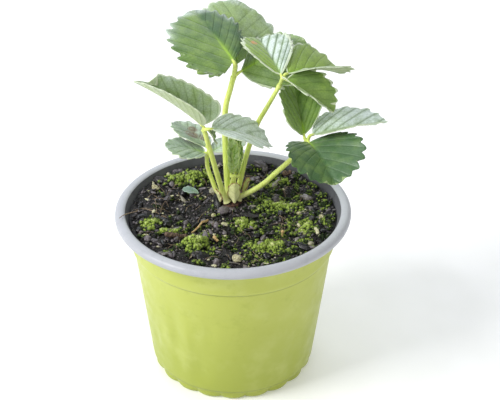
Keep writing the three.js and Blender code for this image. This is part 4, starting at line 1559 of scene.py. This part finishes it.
LEAF_4 = Leaf(
    Stalk("stalk_4", (
        (-3.3, 8.2, 97.6), (-4.0, 8.2, 99.5), (-6.1, 7.5, 106), (-9.3, 5, 120), (-12.4, 3, 133.7),
        (-14.4, 2, 142.3), (-15.6, 1.6, 147),
    ), (1.7, 1.25), 800),
    (
        Leaflet("leaflet_4_left", (-16.6, 1.4, 149.6), 201.5, 48.5, -36, 47, (15.6, 17), (0.35, 0.26), 20,
                (55, 66), 14, (0.01, 0.22), 12, 1.0, quilt=0.12, waves=0.12, vein_angles=(46, 24),
                nips=(0.0, 0.5), look=Look((0.95, 1.0), (0.42, 0.48), 0.5, margin=1.4, tip=0.8)),
        Leaflet("leaflet_4_right", (-11.2, -0.2, 148.4), 16.5, -8.5, 5, 35.6, (15.6, 16.5), (0.68, 0.53), 30,
                (17, 15), -12, (0.11, 0.07), 9, 3.2, 0.4, vein_angles=(44, 24),
                look=Look((0.5, 0.6), (1.15, 1.6), 0.3)),
        Leaflet("leaflet_4_back", (-13.2, 3.6, 145.6), 60, -50, 60, 14, (4.5, 4.5), (0.6, 0.6), 10,
                (20, 20), 0, (0, 0), 5, 0.8, rows=48, columns=16, look=Look((0.4, 0.4), (0.1, 0.1))),
    ),
)

LEAF_5 = Leaf(
    Stalk("stalk_5", (
        (-5.0, 11.9, 97.6), (-5.6, 12.2, 98.8), (-9, 14.5, 100.8), (-11.7, 17, 106.6), (-14.3, 19.5, 114.2),
        (-14.6, 21.6, 119.4),
    ), (1.5, 1.1), 450),
    (
        Leaflet("leaflet_5_front", (-15.4, 20.2, 122.2), 182, 22, 2, 23, (13, 11.5), (0.55, 0.56), 14,
                (4, 4), -11, (0.1, 0.1), 8, 2.2, rows=88, columns=28,
                look=Look((0.25, 0.15), (0.45, 0.45), 0.6, margin=1.4)),
        Leaflet("leaflet_5_left", (-14.8, 24.6, 123.4), 129, 18, 16, 26.6, (12, 11.6), (0.58, 0.6), 11,
                (8, 7), -9, (0.05, 0.1), 8, 1.3, rows=88, columns=28,
                look=Look((0.3, 0.4), (0.4, 0.65), 0.3,
                          spots=((0.45, 0.15, 5.2), (0.62, -0.25, 3.6), (0.3, -0.4, 3.8)))),
        Leaflet("leaflet_5_right", (-12.3, 24.4, 120.7), 42, 4, -4, 24, (9.3, 9), (0.62, 0.58), 13,
                (8, 8), -11, (0.02, 0.1), 8, 1.2, rows=80, columns=24,
                look=Look((0.5, 0.5), (0.75, 0.75), 0.4)),
    ),
    Finish.AGEING_LEAF,
)


def pleat(
    name: str, base: Point, heading: float, roll: float, half: float, fold: float, length: float, tone: Pair,
    painted_sheen: Pair,
) -> Leaflet:
    """One half folded leaflet of the leaf that is still opening, its trough to the front."""
    return Leaflet(
        name, base, heading, 86, roll, length, (half, half), (0.55, 0.55), 6, (fold, fold), 12, (0, 0), 7,
        0.9, quilt=0.6, waves=0.3, rows=64, columns=24, look=Look(tone, painted_sheen, 0.4, 0.8, 1.5, 0.5),
    )


YOUNG_LEAF = Leaf(
    Stalk("young_stalk", (
        (-0.7, 11.3, 97.6), (-0.5, 11.2, 104.7), (0.2, 11, 110), (0.6, 10.9, 113),
    ), (2.1, 1.3), 260),
    (
        pleat("young_leaflet_left", (-0.9, 12.6, 113.2), 96, 22, 6.0, 38, 22, (1.1, 1.1), (0.8, 0.8)),
        pleat("young_leaflet_middle", (1.4, 14.4, 113.5), 88, 0, 5.4, 30, 23, (1.1, -0.2), (0.8, 0.0)),
        pleat("young_leaflet_right", (3.2, 12.8, 113.2), 82, -30, 4.6, 50, 21, (0.4, 0.4), (0.2, 0.2)),
    ),
    Finish.YOUNG_LEAF, Finish.YOUNG_LEAF,
)


@dataclass
class Crown:
    """The short woody crown with its dry sheathing scales."""

    seat: float = 94.55
    height: float = 2.4
    scale_lift: float = 0.35
    sides: int = 48
    # half section: parts of the radius and of the height
    section: tuple[Pair, ...] = (
        (0.0, 0.0), (0.8, 0.0), (1.0, 0.3), (1.0, 0.62), (0.97, 0.85), (0.86, 1.0), (0.5, 1.06), (0.0, 1.04),
    )
    # ridges round the stump: how many, how high as a part of the radius, and where they start
    ridges: tuple[Point, ...] = ((3, 0.05, 0), (7, 0.05, 2), (13, 0.03, 0))
    # name, place, heading, rise, length and half width of each scale
    scales: tuple[tuple[str, float, float, float, float, float, float], ...] = (
        ("stipule_1", 0.9, 7.2, -78, 84, 13.0, 4.3),
        ("stipule_2", -6.9, 9.0, 205, 66, 9, 3.0),
        ("stipule_3", 5.6, 14.6, 30, 64, 12, 2.8),
    )

    def stump(self) -> Piece:
        """The lumpy stump that the stalks grow from."""
        profile = [(CROWN_RADIUS * r, self.seat + self.height * z) for r, z in self.section]
        stump = spun("crown_stump", profile, self.sides)
        points = coordinates(stump)
        angle = np.arctan2(points[:, 1], points[:, 0])
        lumpy = 1 + sum(size * np.sin(count * angle + start) for count, size, start in self.ridges)
        points[:, :2] = points[:, :2] * lumpy[:, None] + CROWN_AT
        return attach(dressed(settled(stump, points), Finish.CROWN), "crown")

    def build(self) -> None:
        """The stump and its scales."""
        self.stump()
        base = self.seat + self.height + self.scale_lift
        for name, x, y, heading, rise, length, half in self.scales:
            Leaflet(
                name, (x, y, base), heading, rise, 0, length, (half, half), (0.56, 0.56), -10, (4, 4), 58,
                (0, 0), 5, 0.0, quilt=0.1, waves=0.5, rows=40, columns=16,
                look=Look((0.6, 0.6), (0.1, 0.1), 0.2, furrow=0.5),
            ).build(Finish.STIPULE, Finish.STIPULE)


# ---------------------------------------------------------------- litter on the soil
@dataclass
class Litter:
    """Grit, sticks, straw, a husk, a pin sprout and a seedling on the soil."""

    soil: SoilBed
    # name, place and size
    stones: tuple[tuple[str, float, float, float], ...] = (
        ("stone_1", 2, -46.5, 2.6), ("stone_2", -44.5, 27.5, 2.2), ("stone_3", -11, 1.5, 1.7),
        ("stone_4", 48.5, -4, 1.8), ("stone_5", 37, 2.5, 1.6), ("stone_6", -47, -22.5, 1.9),
    )
    stone_cuts: int = 9
    stone_shape: Point = (1.25, 0.95, 0.75)
    # name, both ends, radius and finish
    sticks: tuple[tuple[str, Pair, Pair, float, Finish], ...] = (
        ("bark_twig", (-36.5, -25.2), (-24.5, -21.0), 1.6, Finish.BARK),
        ("straw", (-13.6, -5.5), (-22.5, -17), 0.7, Finish.STRAW),
        ("bark_chip", (29, 41.5), (33.5, 40), 1.7, Finish.BARK),
        ("seed_husk", (-10.5, -23.5), (-8, -25.5), 1.1, Finish.STRAW),
    )
    stick_rings: int = 15
    stick_sides: int = 14
    sprout_at: Pair = (26.5, -21.5)
    sprout_height: float = 4.2
    sprout_rings: int = 9
    seedling_at: Pair = (-19.5, 21.5)

    def stone(self, name: str, x: float, y: float, size: float) -> Piece:
        """One angular bit of grit, cut by flats and softened at its edges."""
        grit = primitive(name + "_grit", bpy.ops.mesh.primitive_ico_sphere_add, subdivisions=4, radius=1.0)
        rng = np.random.default_rng(int(100 + 10 * abs(x)))
        points = coordinates(grit)
        for _ in range(self.stone_cuts):
            normal = rng.standard_normal(3)
            normal /= np.linalg.norm(normal)
            over = np.maximum(0, points @ normal - rng.uniform(0.62, 0.85))
            points -= over[:, None] * normal * 0.9
        points *= np.array(self.stone_shape) * size
        points = turned(points, x, 0.0, 0.0) + (x, y, self.soil.ground(x, y) + 0.45 * size)
        return attach(dressed(settled(grit, points), Finish.GRIT), name)

    def bar(self, name: str, route: Array, radii: Array, kind: Finish) -> Piece:
        """A round bar along a route, with a finish."""
        solids = Solids()
        solids.add(*tube(route, radii, self.stick_sides))
        return dressed(solids.piece(name), kind)

    def stick(self, name: str, start: Pair, end: Pair, radius: float, kind: Finish) -> Piece:
        """A broken stick or straw that lies between two places."""
        rng = np.random.default_rng(len(name))
        share = np.linspace(0, 1, self.stick_rings)
        route = []
        for t in share:
            x, y = (a + (b - a) * t for a, b in zip(start, end))
            route.append((x, y, self.soil.ground(x, y) + radius + 1.3))
        radii = radius * (1 - 0.4 * share) * (1 + 0.07 * rng.standard_normal(self.stick_rings))
        radii[[0, -1]] *= (0.7, 0.6)
        return attach(self.bar(name + "_bit", np.array(route), radii, kind), name)

    def sprout(self) -> Piece:
        """The pale pin-like sprout that stands in the moss."""
        x, y = self.sprout_at
        share = np.linspace(0, 1, self.sprout_rings)
        foot = self.soil.ground(x, y) + 0.5
        route = np.array([(x + 0.4 * t, y, foot + self.sprout_height * t) for t in share])
        radii = 0.5 + 0.5 * smoothstep(share, 0.55, 0.8) - 0.5 * smoothstep(share, 0.92, 1.0)
        return attach(self.bar("pin_sprout", route, radii, Finish.STRAW))

    def seedling(self) -> Piece:
        """The one small leaf of a seedling."""
        x, y = self.seedling_at
        return Leaflet(
            "seedling", (x, y, self.soil.ground(x, y) + 1.9), 172, 22, 8, 9.5, (4.2, 4.2), (0.55, 0.55), 20,
            (12, 12), -10, (0, 0), 6, 0.0, quilt=0.1, waves=0.2, rows=40, columns=16,
            look=Look((0.5, 0.6), (0.3, 0.3), 0.5),
        ).build(Finish.SEEDLING, Finish.SEEDLING)

    def build(self) -> None:
        """Everything that lies on the soil."""
        self.sprout()
        for stone in self.stones:
            self.stone(*stone)
        for stick in self.sticks:
            self.stick(*stick)
        self.seedling()


# ---------------------------------------------------------------- studio
@dataclass
class Studio:
    """Pale floor, soft lights and the camera."""

    focal_px: float = 1300.0
    image_px: Pair = (500.0, 400.0)
    principal_px: Pair = (232.95, 209.1)
    distance: float = 718.5
    elevation: float = 31.95
    target_height: float = 98.0
    sensor_mm: float = 36.0
    clip: Pair = (0.01, 10.0)
    floor_radius: float = 4.0
    aim: Point = (0.0, 0.0, 0.1)
    # square soft boxes: name, place and size in metres, power in watts, colour
    lamps: tuple[tuple[str, Point, float, float, str], ...] = (
        ("key_left", (-1.32, -0.5, 1.08), 0.8, 25.0, "#FFFFFF"),
        ("fill_right", (1.1, -0.9, 0.8), 1.0, 3.0, "#FFF6E4"),
        ("sky_behind", (-0.2, 1.2, 1.1), 1.6, 10.0, "#EAF2FF"),
    )
    air: str = "#F7FAFF"
    air_strength: float = 0.55

    def camera(self) -> None:
        """The camera at its viewing angle, aimed at the pot's axis."""
        data = bpy.data.cameras.new("camera")
        wide, tall = self.image_px
        data.sensor_width = self.sensor_mm
        data.lens = self.focal_px * self.sensor_mm / wide
        data.shift_x = (0.5 * wide - self.principal_px[0]) / wide
        data.shift_y = (self.principal_px[1] - 0.5 * tall) / wide
        data.clip_start, data.clip_end = self.clip
        camera = linked("camera", data)
        rise = radians(self.elevation)
        target = np.array([0.0, 0.0, self.target_height])
        place = target + self.distance * np.array([0.0, -cos(rise), sin(rise)])
        camera.location = placed(place)
        camera.rotation_euler = (pi / 2 - rise, 0.0, 0.0)
        bpy.context.scene.camera = camera

    def lamp(self, name: str, place: Point, size: float, power: float, colour: str) -> None:
        """One soft box, aimed at the plant."""
        data = bpy.data.lights.new(name, "AREA")
        data.size, data.energy, data.color = size, power, linear(colour)[:3]
        lamp = linked(name, data)
        lamp.location = place
        lamp.rotation_euler = (Vector(self.aim) - Vector(place)).to_track_quat("-Z", "Y").to_euler()

    def floor(self) -> None:
        """The pale floor that the pot stands on."""
        floor = primitive(
            "studio_floor", bpy.ops.mesh.primitive_circle_add, vertices=96, radius=self.floor_radius,
            fill_type="NGON", location=(0, 0, 0),
        )
        dressed(floor, Finish.FLOOR)

    def build(self) -> None:
        """Floor, lights and surroundings."""
        self.floor()
        for lamp in self.lamps:
            self.lamp(*lamp)
        world = bpy.data.worlds.new("studio_air")
        world.use_nodes = True
        background = world.node_tree.nodes["Background"]
        background.inputs["Color"].default_value = linear(self.air)
        background.inputs["Strength"].default_value = self.air_strength
        bpy.context.scene.world = world
        bpy.context.scene.view_settings.view_transform = "Standard"




def main() -> None:
    """Builds the scene piece by piece."""
    logging.basicConfig(level=logging.INFO, format="%(name)s %(message)s")
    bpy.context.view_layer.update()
    studio = Studio()
    studio.camera()
    pot = NurseryPot()
    pot.build()
    soil = SoilBed(pot)
    soil.build()
    MossCover(soil).build()
    Crown().build()
    for number, leaf in enumerate((LEAF_1, LEAF_2, LEAF_3, LEAF_4, LEAF_5, YOUNG_LEAF)):
        leaf.build(200 + number)
    Litter(soil).build()
    studio.build()
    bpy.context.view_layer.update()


if __name__ == "__main__":
    main()
